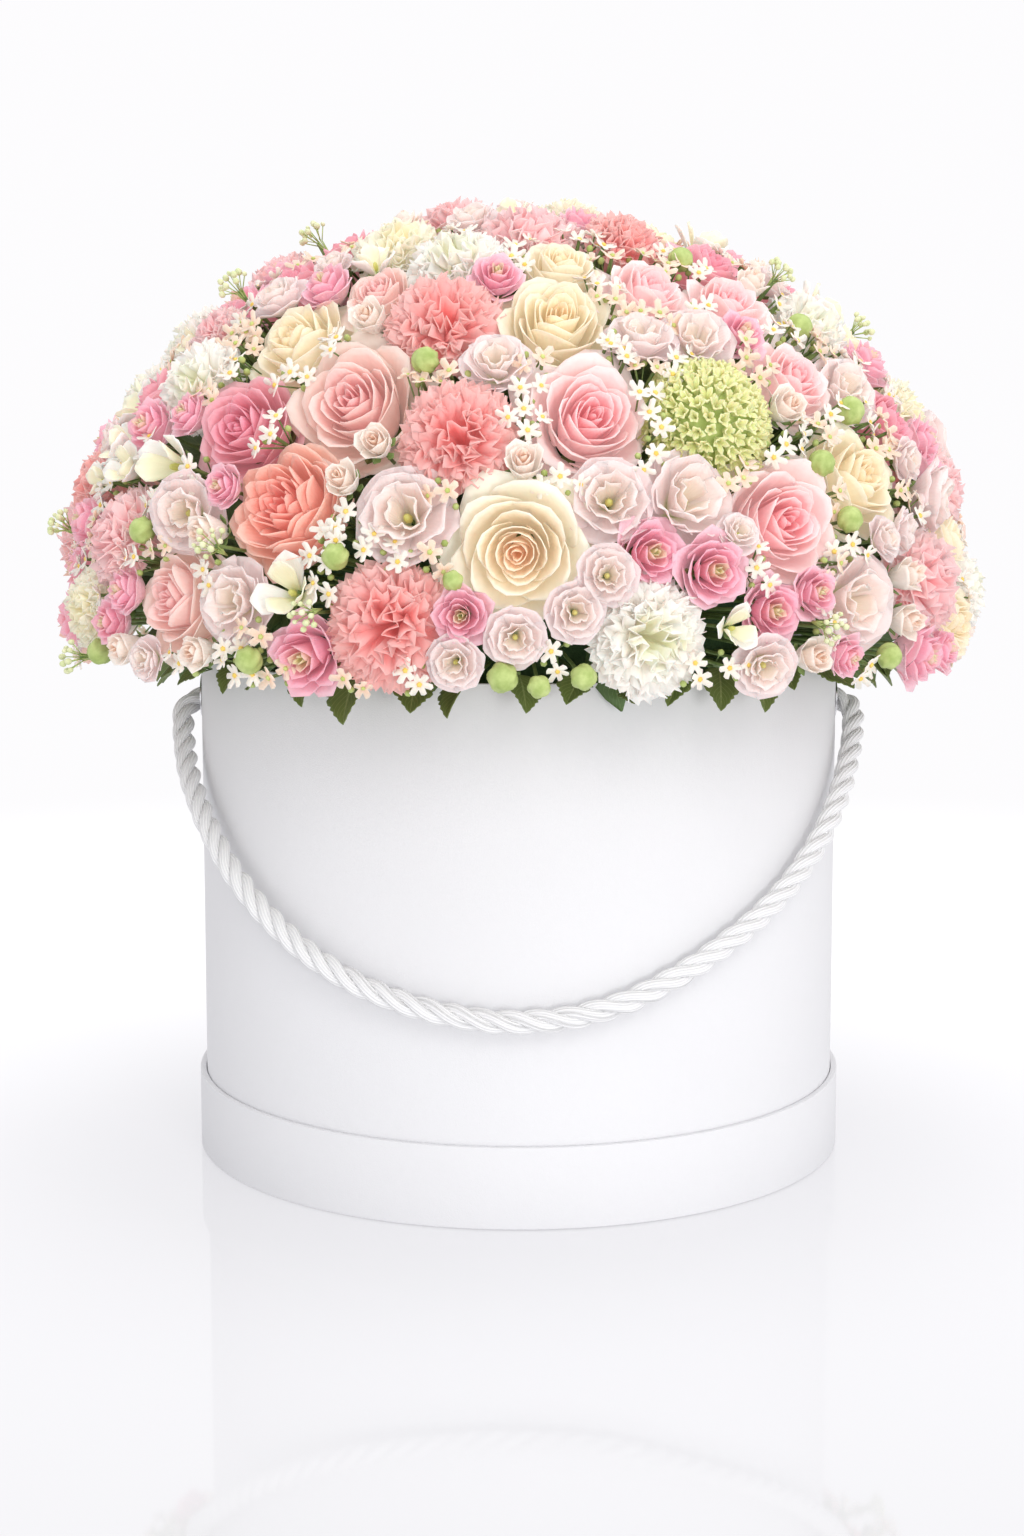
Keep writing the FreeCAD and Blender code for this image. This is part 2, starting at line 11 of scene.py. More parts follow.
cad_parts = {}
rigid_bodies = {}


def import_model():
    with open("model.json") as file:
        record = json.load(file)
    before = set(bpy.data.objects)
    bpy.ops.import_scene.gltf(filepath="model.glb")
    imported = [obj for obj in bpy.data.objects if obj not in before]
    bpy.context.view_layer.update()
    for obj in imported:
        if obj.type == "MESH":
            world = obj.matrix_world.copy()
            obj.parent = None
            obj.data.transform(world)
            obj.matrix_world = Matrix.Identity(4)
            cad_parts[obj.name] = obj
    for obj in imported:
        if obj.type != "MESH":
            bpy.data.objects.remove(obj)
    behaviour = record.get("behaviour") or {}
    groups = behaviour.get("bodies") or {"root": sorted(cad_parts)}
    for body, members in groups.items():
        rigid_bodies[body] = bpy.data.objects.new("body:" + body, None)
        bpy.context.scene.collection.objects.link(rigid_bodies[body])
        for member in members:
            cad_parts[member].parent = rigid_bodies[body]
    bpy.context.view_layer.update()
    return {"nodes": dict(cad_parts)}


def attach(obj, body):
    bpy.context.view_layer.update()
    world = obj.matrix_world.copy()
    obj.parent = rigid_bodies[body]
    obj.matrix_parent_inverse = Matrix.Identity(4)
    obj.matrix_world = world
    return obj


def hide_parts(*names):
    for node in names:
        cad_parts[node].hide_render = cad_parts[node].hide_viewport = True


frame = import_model()

MM = 0.001
DOME_MIDDLE = Vector((0, 0, 0.300))
GOLDEN_TURN = 2.39996
rng = random.Random(7)


# ---------------------------------------------------------------- camera, light and floor
def camera():
    """A camera a little above the rim, far enough back to flatten the box."""
    data = bpy.data.cameras.new("camera")
    data.lens = 59.96
    data.sensor_width = 36.0
    data.shift_x = -0.0043
    data.shift_y = -0.0408
    view = bpy.data.objects.new("camera", data)
    view.location = (0, -1.4136, 0.4182)
    view.rotation_euler = (math.radians(90 - 7.118), 0, 0)
    bpy.context.scene.collection.objects.link(view)
    bpy.context.scene.camera = view


def area_light(name, place, aim, width, watts, colour=(1, 1, 1)):
    """A soft square light that faces its aim and leaves no square in the glossy table."""
    data = bpy.data.lights.new(name, "AREA")
    data.shape = "SQUARE"
    data.size = width
    data.energy = watts
    data.color = colour
    lamp = bpy.data.objects.new(name, data)
    lamp.location = place
    lamp.visible_glossy = False
    lamp.rotation_euler = (Vector(aim) - Vector(place)).to_track_quat("-Z", "Y").to_euler()
    bpy.context.scene.collection.objects.link(lamp)


def studio():
    """A bright white backdrop, a little darker to the left, and three soft lamps."""
    world = bpy.data.worlds.new("studio_white")
    world.use_nodes = True
    nodes, links = world.node_tree.nodes, world.node_tree.links
    place = nodes.new("ShaderNodeTexCoord")
    parts = nodes.new("ShaderNodeSeparateXYZ")
    band = nodes.new("ShaderNodeValToRGB")
    path = nodes.new("ShaderNodeLightPath")
    seen = nodes.new("ShaderNodeMix")
    seen.data_type = "RGBA"
    band.color_ramp.elements[0].position = 0.05
    band.color_ramp.elements[0].color = (0.82, 0.82, 0.84, 1)
    band.color_ramp.elements[1].position = 0.48
    band.color_ramp.elements[1].color = (0.97, 0.965, 0.985, 1)
    across = nodes.new("ShaderNodeMapRange")
    across.inputs["From Min"].default_value = -1
    links.new(place.outputs["Generated"], parts.inputs[0])
    links.new(parts.outputs["X"], across.inputs["Value"])
    links.new(across.outputs["Result"], band.inputs["Fac"])
    links.new(path.outputs["Is Camera Ray"], seen.inputs[0])
    links.new(band.outputs["Color"], seen.inputs[6])
    seen.inputs[7].default_value = (0.982, 0.975, 0.988, 1)
    links.new(seen.outputs[2], nodes["Background"].inputs["Color"])
    bpy.context.scene.world = world
    bpy.context.scene.view_settings.view_transform = "Standard"
    area_light("key", (0.55, -1.9, 1.5), (0, 0, 0.35), 0.8, 7, (1.0, 0.985, 0.96))
    area_light("front", (0.6, -2.0, 0.25), (0, 0, 0.22), 0.46, 9)
    area_light("top", (0.1, 0.1, 2.0), (0, 0, 0.4), 1.0, 10)


# ---------------------------------------------------------------- small helpers
def deselect():
    for thing in bpy.context.view_layer.objects:
        thing.select_set(False)


def only(thing):
    """Make this object the only one that is selected, and the active one."""
    deselect()
    thing.select_set(True)
    bpy.context.view_layer.objects.active = thing


def apply_modifier(thing, kind, **settings):
    """Add a modifier with these settings and apply it."""
    modifier = thing.modifiers.new(kind.lower(), kind)
    for name, value in settings.items():
        setattr(modifier, name, value)
    only(thing)
    bpy.ops.object.modifier_apply(modifier=modifier.name)


def points_of(mesh):
    """A mesh's vertex places as an array."""
    places = np.empty(len(mesh.vertices) * 3, np.float32)
    mesh.vertices.foreach_get("co", places)
    return places.reshape(-1, 3).astype(float)


def set_points(mesh, places):
    mesh.vertices.foreach_set("co", np.asarray(places, np.float32).ravel())
    mesh.update()


def joined(parts, name):
    """Join objects into one, under a new name."""
    deselect()
    for part in parts:
        part.select_set(True)
    bpy.context.view_layer.objects.active = parts[0]
    if len(parts) > 1:
        bpy.ops.object.join()
    whole = bpy.context.view_layer.objects.active
    whole.name = name
    whole.data.name = name
    return whole


def copy_of(thing, matrix=None):
    """A copy with its own mesh, its place in its mesh."""
    twin = thing.copy()
    twin.data = thing.data.copy()
    if matrix is not None:
        twin.data.transform(matrix)
    bpy.context.scene.collection.objects.link(twin)
    return twin


def smooth(thing):
    thing.data.polygons.foreach_set("use_smooth", [True] * len(thing.data.polygons))
    thing.data.update()


def smooth_by_angle(thing, degrees=35):
    """Smooth shading that stays crisp at cut edges."""
    only(thing)
    bpy.ops.object.shade_smooth_by_angle(angle=math.radians(degrees))


def finish_piece(piece, body, nodes):
    """Hang a finished piece on its body in place of its CAD nodes."""
    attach(piece, body)
    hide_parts(*nodes)


# ---------------------------------------------------------------- materials
class Finish:
    """A node material being built around one Principled shader."""

    def __init__(self, name, roughness=0.6, sheen=0.0, **sockets):
        self.material = bpy.data.materials.new(name)
        self.material.use_nodes = True
        self.nodes = self.material.node_tree.nodes
        self.links = self.material.node_tree.links
        self.shader = self.nodes["Principled BSDF"]
        self.shader.inputs["Roughness"].default_value = roughness
        self.shader.inputs["Sheen Weight"].default_value = sheen
        for socket, value in sockets.items():
            self.shader.inputs[socket.replace("_", " ")].default_value = value

    def add(self, kind, **values):
        """A node, with its settings or the values of its input sockets."""
        node = self.nodes.new(kind)
        for name, value in values.items():
            if hasattr(node, name):
                setattr(node, name, value)
            else:
                node.inputs[name.replace("_", " ")].default_value = value
        return node

    def ramp(self, factor, stops):
        """A colour ramp of (place, colour) stops, driven by a socket."""
        node = self.nodes.new("ShaderNodeValToRGB")
        band = node.color_ramp
        while len(band.elements) < len(stops):
            band.elements.new(0.5)
        for element, (place, colour) in zip(band.elements, stops):
            element.position = place
            element.color = (*colour, 1)
        self.links.new(factor, node.inputs["Fac"])
        return node.outputs["Color"]

    def mix(self, factor, first, second, blend="MIX"):
        """A colour mix; each of the three may be a socket or a value."""
        node = self.nodes.new("ShaderNodeMix")
        node.data_type = "RGBA"
        node.blend_type = blend
        for index, value in ((0, factor), (6, first), (7, second)):
            if isinstance(value, bpy.types.NodeSocket):
                self.links.new(value, node.inputs[index])
            else:
                node.inputs[index].default_value = value if index == 0 else (*value, 1)
        return node.outputs[2]

    def maths(self, operation, first, second):
        """A maths node on two values or sockets."""
        node = self.nodes.new("ShaderNodeMath")
        node.operation = operation
        for index, value in ((0, first), (1, second)):
            if isinstance(value, bpy.types.NodeSocket):
                self.links.new(value, node.inputs[index])
            else:
                node.inputs[index].default_value = value
        return node.outputs[0]

    def noise(self, scale, detail=4.0, roughness=0.55, stretch=None):
        """A noise pattern on the piece's own coordinates."""
        place = self.nodes.new("ShaderNodeTexCoord").outputs["Object"]
        if stretch:
            mapping = self.add("ShaderNodeMapping")
            mapping.inputs["Scale"].default_value = stretch
            self.links.new(place, mapping.inputs["Vector"])
            place = mapping.outputs["Vector"]
        node = self.add("ShaderNodeTexNoise", Scale=scale, Detail=detail, Roughness=roughness)
        self.links.new(place, node.inputs["Vector"])
        return node.outputs["Fac"]

    def petal_values(self):
        """Along the petal, ring of the bloom, chance and across the petal, from its attribute."""
        node = self.add("ShaderNodeAttribute", attribute_name="petal")
        parts = self.nodes.new("ShaderNodeSeparateColor")
        self.links.new(node.outputs["Color"], parts.inputs["Color"])
        return (*parts.outputs[:3], node.outputs["Alpha"])

    def colour(self, socket):
        self.links.new(socket, self.shader.inputs["Base Color"])

    def bump(self, height, strength, distance):
        node = self.add("ShaderNodeBump", Strength=strength, Distance=distance)
        self.links.new(height, node.inputs["Height"])
        self.links.new(node.outputs["Normal"], self.shader.inputs["Normal"])


def petal_finish(name, heart, body, rim, root=None, edge=None, veins=26.0):
    """Petal velvet: a colour that runs from the heart to the outer ring, paler at the lip, finely veined,
    with a painted glow of the same colour that lifts the shade between petals.
    """
    finish = Finish(
        name, roughness=0.55, sheen=0.2, Sheen_Roughness=0.4, Subsurface_Weight=0.35,
        Subsurface_Radius=(1.0, 0.5, 0.45), Subsurface_Scale=0.003,
    )
    along, ring, chance, across = finish.petal_values()
    base = finish.ramp(ring, [(0.0, heart), (0.45, body), (1.0, rim)])
    if root:
        base = finish.mix(finish.ramp(along, [(0.0, (1, 1, 1)), (0.35, (0, 0, 0))]), base, root)
    lip = finish.ramp(along, [(0.72, (0, 0, 0)), (1.0, (1, 1, 1))])
    base = finish.mix(finish.maths("MULTIPLY", lip, 0.3), base, edge or rim)
    blotch = finish.ramp(finish.noise(55.0), [(0.3, (0.95, 0.93, 0.93)), (0.7, (1, 1, 1))])
    base = finish.mix(0.55, base, blotch, "MULTIPLY")
    shade = finish.ramp(chance, [(0.0, (0.88, 0.83, 0.78)), (1.0, (0.99, 0.97, 0.93))])
    base = finish.mix(0.8, base, shade, "MULTIPLY")
    finish.colour(base)
    # Painted glow: the petal colour is also emitted. This painted light stands in for light shining through
    # the petals and brightens their shade.
    finish.links.new(base, finish.shader.inputs["Emission Color"])
    finish.shader.inputs["Emission Strength"].default_value = 0.12
    lines = finish.maths("SINE", finish.maths("MULTIPLY", across, veins * math.pi), 0)
    finish.bump(finish.maths("ADD", lines, finish.noise(900.0, 2.0)), 0.16, 0.0003)
    return finish.material


def leaf_finish(name, dark, light, vein):
    """A satin leaf with a pale midrib and side veins."""
    finish = Finish(name, roughness=0.45, sheen=0.05)
    along, _, chance, across = finish.petal_values()
    base = finish.mix(chance, dark, light)
    patches = finish.ramp(finish.noise(70.0), [(0.35, (0, 0, 0)), (0.7, (0.5, 0.5, 0.5))])
    base = finish.mix(patches, base, light)
    side = finish.maths("ABSOLUTE", finish.maths("SUBTRACT", across, 0.5), 0)
    forward = finish.maths("MULTIPLY", along, 9.0)
    slant = finish.maths("SUBTRACT", forward, finish.maths("MULTIPLY", side, 7.0))
    wave = finish.maths("SINE", finish.maths("MULTIPLY", slant, 2 * math.pi), 0)
    branches = finish.ramp(wave, [(0.86, (0, 0, 0)), (1.0, (0.7, 0.7, 0.7))])
    midrib = finish.ramp(side, [(0.0, (1, 1, 1)), (0.045, (0, 0, 0))])
    lines = finish.mix(1.0, branches, midrib, "ADD")
    finish.colour(finish.mix(finish.maths("MULTIPLY", lines, 0.6), base, vein))
    finish.bump(lines, 0.35, 0.0004)
    return finish.material


def green_finish(name, dark, light, roughness=0.5):
    """Plain mottled green for stems, buds and sepals."""
    finish = Finish(name, roughness=roughness)
    pattern = finish.ramp(finish.noise(180.0), [(0.3, dark), (0.7, light)])
    finish.colour(pattern)
    finish.bump(finish.noise(1200.0, 3.0), 0.15, 0.0003)
    return finish.material


def paper_finish(name, white):
    """Matt white covering paper: a fine felt grain and a few faint long fibres."""
    finish = Finish(name, roughness=0.62)
    tone = finish.ramp(finish.noise(14.0, 6.0), [(0.3, [c * 0.982 for c in white]), (0.7, white)])
    finish.colour(tone)
    grain = finish.noise(1500.0, 3.0)
    fibres = finish.noise(260.0, 5.0, stretch=(1, 1, 0.35))
    finish.bump(finish.maths("ADD", grain, fibres), 0.28, 0.0005)
    return finish.material


def plain_finish(name, dark, light, scale, roughness, bump=0.2, metallic=0.0):
    """A mottled, slightly rough finish for parts that are seldom seen."""
    finish = Finish(name, roughness=roughness, Metallic=metallic)
    finish.colour(finish.ramp(finish.noise(scale), [(0.3, dark), (0.7, light)]))
    finish.bump(finish.noise(scale * 6, 3.0), bump, 0.0004)
    return finish.material


def yarn_finish(name):
    """White spun yarn: fine slanting filaments that follow each strand, with painted shade in the grooves
    between them.
    """
    finish = Finish(name, roughness=0.7, sheen=0.4, Sheen_Roughness=0.4)
    node = finish.add("ShaderNodeAttribute", attribute_name="yarn")
    parts = finish.nodes.new("ShaderNodeSeparateColor")
    finish.links.new(node.outputs["Color"], parts.inputs["Color"])
    along, around = parts.outputs[0], parts.outputs[1]
    filaments = finish.maths("MULTIPLY", around, 11.0)
    slant = finish.maths("ADD", finish.maths("MULTIPLY", along, 0.5), filaments)
    wave = finish.maths("SINE", finish.maths("MULTIPLY", slant, 2 * math.pi), 0)
    fuzz = finish.noise(2400.0, 3.0)
    height = finish.maths("ADD", wave, fuzz)
    # Darker where the filament height is low: painted shade in the grooves between filaments, plus some
    # random fuzz tone.
    finish.colour(finish.ramp(height, [(0.0, (0.84, 0.84, 0.85)), (0.6, (0.95, 0.95, 0.95))]))
    finish.bump(height, 0.55, 0.0004)
    return finish.material


# ---------------------------------------------------------------- petals
def flat_blank(name, across, along):
    """A flat grid two wide and two long: petals are bent from copies of it."""
    deselect()
    bpy.ops.mesh.primitive_grid_add(x_subdivisions=across, y_subdivisions=along, size=2)
    blank = bpy.context.active_object
    blank.name = name
    blank.data.attributes.new("petal", "FLOAT_COLOR", "POINT")
    return blank


class Blank:
    """A flat petal blank with its across (-1 to 1) and along (0 to 1) values."""

    def __init__(self, name, across, along):
        self.thing = flat_blank(name, across, along)
        flat = points_of(self.thing.data)
        self.across = flat[:, 0]
        self.along = (flat[:, 1] + 1) / 2

    def bent(self, places, ring, chance):
        """A petal copied from the blank, with its vertices at these places."""
        petal = copy_of(self.thing)
        set_points(petal.data, places)
        values = np.ones((len(places), 4), np.float32)
        values[:, 0] = self.along
        values[:, 1] = ring
        values[:, 2] = chance
        values[:, 3] = self.across / 2 + 0.5
        set_petal_values(petal.data, values)
        return petal


def set_petal_values(mesh, values):
    """Give a mesh the four numbers that its petal material reads at each vertex."""
    if "petal" not in mesh.attributes:
        mesh.attributes.new("petal", "FLOAT_COLOR", "POINT")
    mesh.attributes["petal"].data.foreach_set("color", values.ravel())


def unit(vectors):
    return vectors / np.maximum(np.linalg.norm(vectors, axis=-1, keepdims=True), 1e-9)


def cupped_petal(blank, turn, span, foot, top, low, high, curl, ring, sway=0.0, tip=0.25):
    """One petal of a rose: a patch of a cup whose lip rolls outward.

    It turns about Z at the angle `turn`, reaches `span` to each side, rises from the
    radius `foot` at the height `low` to the radius `top` at the height `high`.
    """
    u, v = blank.across, blank.along
    rise = v * (1 - tip * np.abs(u) ** 1.6 * v)
    reach = span * (0.30 + 0.70 * np.sin(np.pi * np.clip(0.08 + 0.62 * v, 0, 1)))
    angle = turn + u * reach
    roll = np.clip((rise - 0.62) / 0.38, 0, 1) ** 2
    radius = foot + (top - foot) * np.sin(rise * np.pi / 2) ** 0.8
    radius = radius * (1 + 0.07 * u) + curl * roll + sway * np.sin(2.6 * u + 9 * turn) * v ** 2
    height = low + (high - low) * rise ** 0.9 - 0.55 * curl * roll ** 1.5
    height = height + 0.35 * sway * np.cos(3.1 * u + 5 * turn) * v ** 2
    places = np.stack([radius * np.cos(angle), radius * np.sin(angle), height], axis=1)
    return blank.bent(places, ring, rng.random())


def fan_petal(blank, turn, root, knee, tip, width, ring, ruffle=0.0, waves=2.0, twist=0.0,
              cup=0.0, fringe=0.0, taper=0.75, end=0.8):
    """An open petal that grows along a bent line in the plane at the angle `turn`.

    Root, knee and tip are (out, up) pairs. It widens to `width`, its lip ruffles, and
    `end` says how round its tip is.
    """
    u, v = blank.across, blank.along
    v = v * (1 - 0.22 * end * u ** 2)
    if fringe:
        v = v * (1 + fringe * np.where(blank.along > 0.99, np.cos(np.arange(len(u)) * np.pi), 0))
    a, b, c = (np.array(pair, float) for pair in (root, knee, tip))
    line = ((1 - v) ** 2)[:, None] * a + (2 * v * (1 - v))[:, None] * b + (v ** 2)[:, None] * c
    slope = unit((2 * (1 - v))[:, None] * (b - a) + (2 * v)[:, None] * (c - b))
    outward = np.array([math.cos(turn), math.sin(turn), 0])
    side = np.array([-math.sin(turn), math.cos(turn), 0])
    up = np.array([0.0, 0.0, 1.0])
    centre = line[:, :1] * outward + line[:, 1:] * up
    normal = -slope[:, 1:] * outward + slope[:, :1] * up
    swing = twist * v
    across = np.cos(swing)[:, None] * side + np.sin(swing)[:, None] * normal
    normal = -np.sin(swing)[:, None] * side + np.cos(swing)[:, None] * normal
    spread = width * (0.16 + 0.84 * np.sin(np.pi / 2 * np.clip(v / 0.8, 0, 1)) ** (1 / taper))
    spread = spread * (1 - 0.5 * end * np.clip((v - 0.7) / 0.3, 0, 1) ** 2)
    lift = cup * (u ** 2) * spread
    lift = lift + ruffle * v ** 2 * np.sin(waves * np.pi * u + 7 * turn + 11 * ring)
    places = centre + across * (u * spread)[:, None] + normal * lift[:, None]
    return blank.bent(places, ring, rng.random())


def bloom(petals, name, thickness, finishes):
    """Join a flower's petals and give them their thickness."""
    flower = joined(petals, name)
    flower.data.materials.clear()
    for finish in finishes:
        flower.data.materials.append(finish)
    apply_modifier(flower, "SOLIDIFY", thickness=thickness, offset=0.0)
    smooth(flower)
    return flower


def sepals(finish, count, low, reach, width):
    """The green star under a bloom."""
    blank = BLANKS["tiny"]
    parts = []
    for i in range(count):
        turn = 2 * math.pi * i / count + 0.2
        parts.append(fan_petal(
            blank, turn, (0.05, low), (reach * 0.75, low), (reach, low + 0.30), width, 0.5,
            cup=0.3, taper=0.6, end=1.6,
        ))
    return bloom(parts, "sepals", 0.03, [finish])


def rose(name, finish, green, rings, seed, sway=0.03, blank="petal"):
    """A rose from its rings of (petals, lip radius, lip height, curl), inside out."""
    rng.seed(seed)
    petals = []
    turn = rng.random() * 6
    for index, (count, top, high, curl) in enumerate(rings):
        share = index / (len(rings) - 1)
        turn += 0.9 + 0.5 * rng.random()
        for i in range(count):
            angle = turn + 2 * math.pi * (i + 0.16 * rng.random()) / count
            petals.append(cupped_petal(
                BLANKS[blank], angle, span=(1.36 + 0.3 * rng.random()) * math.pi / count,
                foot=0.05 + 0.30 * top, top=top * (0.91 + 0.16 * rng.random()),
                low=-0.72 + 0.1 * (1 - share), high=high + 0.10 * (rng.random() - 0.5),
                curl=curl * (0.7 + 0.6 * rng.random()), ring=share, sway=sway * (0.3 + share),
                tip=0.20 + 0.16 * rng.random() + 0.10 * share,
            ))
    flower = bloom(petals, name, 0.013, [finish])
    return joined([flower, sepals(green, 5, -0.74, 0.62, 0.16)], name)


ROSE_RINGS = [
    (2, 0.06, 0.46, 0.00), (3, 0.12, 0.49, 0.00), (3, 0.19, 0.51, 0.01), (3, 0.27, 0.52, 0.02),
    (4, 0.36, 0.51, 0.03), (4, 0.47, 0.49, 0.05), (4, 0.61, 0.42, 0.10), (5, 0.76, 0.28, 0.16),
    (5, 0.88, 0.02, 0.24),
]
GARDEN_RINGS = [
    (4, 0.10, 0.40, 0.00), (5, 0.19, 0.46, 0.01), (6, 0.28, 0.50, 0.01), (7, 0.38, 0.52, 0.02),
    (7, 0.48, 0.50, 0.03), (7, 0.59, 0.46, 0.04), (7, 0.71, 0.38, 0.06), (7, 0.84, 0.25, 0.09),
    (6, 0.94, 0.08, 0.12),
]
SPRAY_RINGS = [
    (3, 0.08, 0.50, 0.0), (3, 0.19, 0.54, 0.02), (4, 0.33, 0.54, 0.04), (5, 0.52, 0.46, 0.08),
    (5, 0.74, 0.30, 0.14), (5, 0.90, 0.06, 0.18),
]
BUD_RINGS = [(2, 0.12, 0.70, 0.0), (3, 0.26, 0.70, 0.0), (3, 0.42, 0.62, 0.02), (4, 0.60, 0.42, 0.10)]


def carnation(name, finish, green, seed, count=44):
    """A carnation: crowded wedge petals with frilled, toothed lips."""
    rng.seed(seed)
    petals = []
    for i in range(count):
        share = math.sqrt((i + 0.5) / count)
        lean = 1.56 * share + 0.26 * (rng.random() - 0.5)
        reach = 0.98 - 0.10 * rng.random()
        tip = (reach * math.sin(lean), -0.02 + 0.74 * reach * math.cos(lean))
        petals.append(fan_petal(
            BLANKS["frill"], turn=i * GOLDEN_TURN + 0.3 * rng.random(), root=(0.03, -0.6),
            knee=(0.22 * share, 0.10 * (1 - share) + 0.12), tip=tip, width=0.36 + 0.08 * share,
            ring=share, ruffle=0.15 - 0.05 * share, waves=1.8 + 1.8 * rng.random(),
            twist=2.6 * (rng.random() - 0.5) * (1.1 - 0.6 * share), fringe=0.03, taper=0.45, end=0.30,
        ))
    flower = bloom(petals, name, 0.016, [finish])
    return joined([flower, sepals(green, 5, -0.70, 0.40, 0.14)], name)


def button(name, finish, width, low, high, rings=4, sides=12):
    """A little domed heart for an open flower."""
    deselect()
    bpy.ops.mesh.primitive_uv_sphere_add(segments=sides, ring_count=rings * 2, radius=1)
    dome = bpy.context.active_object
    places = points_of(dome.data)
    places[:, :2] *= width
    places[:, 2] = low + (places[:, 2] + 1) / 2 * (high - low)
    set_points(dome.data, places)
    values = np.ones((len(places), 4), np.float32) * 0.5
    set_petal_values(dome.data, values)
    dome.data.materials.append(finish)
    dome.name = name
    smooth(dome)
    return dome


def open_bloom(name, finish, green, heart, rings, seed, ruffle):
    """A loose open flower from rings of (petals, reach, tip height, width), inside out."""
    rng.seed(seed)
    petals = []
    for index, (count, reach, high, width) in enumerate(rings):
        share = index / max(1, len(rings) - 1)
        start = rng.random() * 6
        for i in range(count):
            turn = start + 2 * math.pi * (i + 0.25 * rng.random()) / count
            petals.append(fan_petal(
                BLANKS["ruffle"], turn, root=(0.04, -0.55), knee=(0.10 + 0.45 * reach, -0.25 + 0.65 * high),
                tip=(reach, high + 0.08 * (rng.random() - 0.5)), width=width * (0.9 + 0.2 * rng.random()),
                ring=share, ruffle=ruffle * (0.7 + 0.6 * rng.random()), waves=1.3 + 1.2 * rng.random(),
                twist=0.5 * (rng.random() - 0.5), cup=0.25, taper=0.7, end=0.9,
            ))
    flower = bloom(petals, name, 0.022, [finish])
    star = sepals(green, 5, -0.60, 0.40, 0.13)
    return joined([flower, star, button("heart", heart, 0.09, -0.30, 0.06, rings=2, sides=8)], name)


def ball_of_florets(name, finish, green, seed, count, length, width, lobes=4):
    """A round head packed with small florets, each a little star of petals."""
    rng.seed(seed)
    petals = []
    for i in range(count):
        up = 1 - 1.42 * (i + 0.5) / count
        turn = i * GOLDEN_TURN
        level = math.sqrt(max(0.0, 1 - up * up))
        out = Vector((math.cos(turn) * level, math.sin(turn) * level, up))
        facing = out.to_track_quat("Z", "Y").to_matrix().to_4x4()
        crown = 0.97 + 0.05 * rng.random() - length
        squash = Matrix.Diagonal((1, 1, 0.76, 1))
        place = squash @ Matrix.Translation(out * crown) @ facing
        for k in range(lobes):
            splay = width * (0.6 + 0.7 * rng.random())
            petal = fan_petal(
                BLANKS["tiny"], turn=2 * math.pi * (k + 0.5 * rng.random()) / lobes, root=(0.01, -0.1),
                knee=(0.25 * splay, length * 0.7), tip=(splay, length * (0.8 + 0.35 * rng.random())),
                width=width * 0.36, ring=0.55 + 0.4 * up, cup=0.5, taper=0.9, end=1.0,
            )
            petal.data.transform(place)
            petals.append(petal)
    core = button("core", green, 0.74, -0.60, 0.55, rings=6, sides=20)
    return joined([bloom(petals, name, 0.02, [finish]), core], name)


def star_floret(name, finish, heart, lobes=6, seed=1):
    """A tiny open waxflower: a disc drawn into round petals, with a raised heart."""
    deselect()
    bpy.ops.mesh.primitive_circle_add(vertices=lobes * 4, radius=1, fill_type="TRIFAN")
    disc = bpy.context.active_object
    places = points_of(disc.data)
    angle = np.arctan2(places[:, 1], places[:, 0])
    radius = np.hypot(places[:, 0], places[:, 1])
    lobed = radius * (0.46 + 0.54 * np.abs(np.cos(lobes * (angle - math.pi / 2) / 2)) ** 0.4)
    lobed = lobed * (1 + 0.08 * np.sin(2 * angle + seed))
    places[:, 0], places[:, 1] = lobed * np.cos(angle), lobed * np.sin(angle)
    places[:, 2] = 0.30 * lobed ** 2 * (1 + 0.7 * np.sin(2 * angle + seed)) - 0.10
    set_points(disc.data, places)
    values = np.ones((len(places), 4), np.float32)
    values[:, 0] = radius
    values[:, 1] = radius
    values[:, 3] = angle / (2 * math.pi) + 0.5
    set_petal_values(disc.data, values)
    disc.data.materials.append(finish)
    apply_modifier(disc, "SOLIDIFY", thickness=0.06, offset=-1.0)
    smooth(disc)
    return joined([disc, button("eye", heart, 0.24, -0.12, 0.14, rings=2, sides=5)], name)


def twig(name, finish, start, end, radius, sides=4):
    """A thin straight stalk from one point to another."""
    start, end = Vector(start), Vector(end)
    deselect()
    bpy.ops.mesh.primitive_cylinder_add(vertices=sides, radius=radius, depth=(end - start).length)
    stalk = bpy.context.active_object
    turn = (end - start).to_track_quat("Z", "Y").to_matrix().to_4x4()
    stalk.data.transform(Matrix.Translation((start + end) / 2) @ turn)
    stalk.data.materials.append(finish)
    stalk.name = name
    smooth(stalk)
    return stalk


def floret_cluster(name, florets, seed, lime, stem):
    """Waxflowers on their own stalks beside one another, with two closed buds."""
    rng.seed(seed)
    fork = (0, 0, -3.4)
    parts = []
    start = rng.random() * 6
    for index in range(2 + seed % 2):
        turn = start + index * 2.1 + 0.5 * (rng.random() - 0.5)
        out = 0.0 if index == 0 else 1.45 + 0.35 * rng.random()
        spot = Vector((out * math.cos(turn), out * math.sin(turn), 0.1 - 0.35 * out * rng.random()))
        face = (spot - Vector(fork)).to_track_quat("Z", "Y").to_matrix().to_4x4()
        size = 1.0 - 0.12 * index * rng.random()
        place = Matrix.Translation(spot) @ face @ Matrix.Scale(size, 4)
        parts.append(copy_of(florets[index % len(florets)], place))
        parts.append(twig("stalk", stem, fork, spot - Vector((0, 0, 0.1)), 0.09))
    for index in range(2):
        turn = start + 1.1 + index * 2.6
        spot = Vector((1.25 * math.cos(turn), 1.25 * math.sin(turn), -0.5 - 0.6 * rng.random()))
        bud = button("closed_bud", lime, 0.30, -0.34, 0.34, rings=2, sides=6)
        bud.data.transform(Matrix.Translation(spot))
        parts.append(bud)
        parts.append(twig("stalk", stem, fork, spot, 0.07))
    return joined(parts, name)


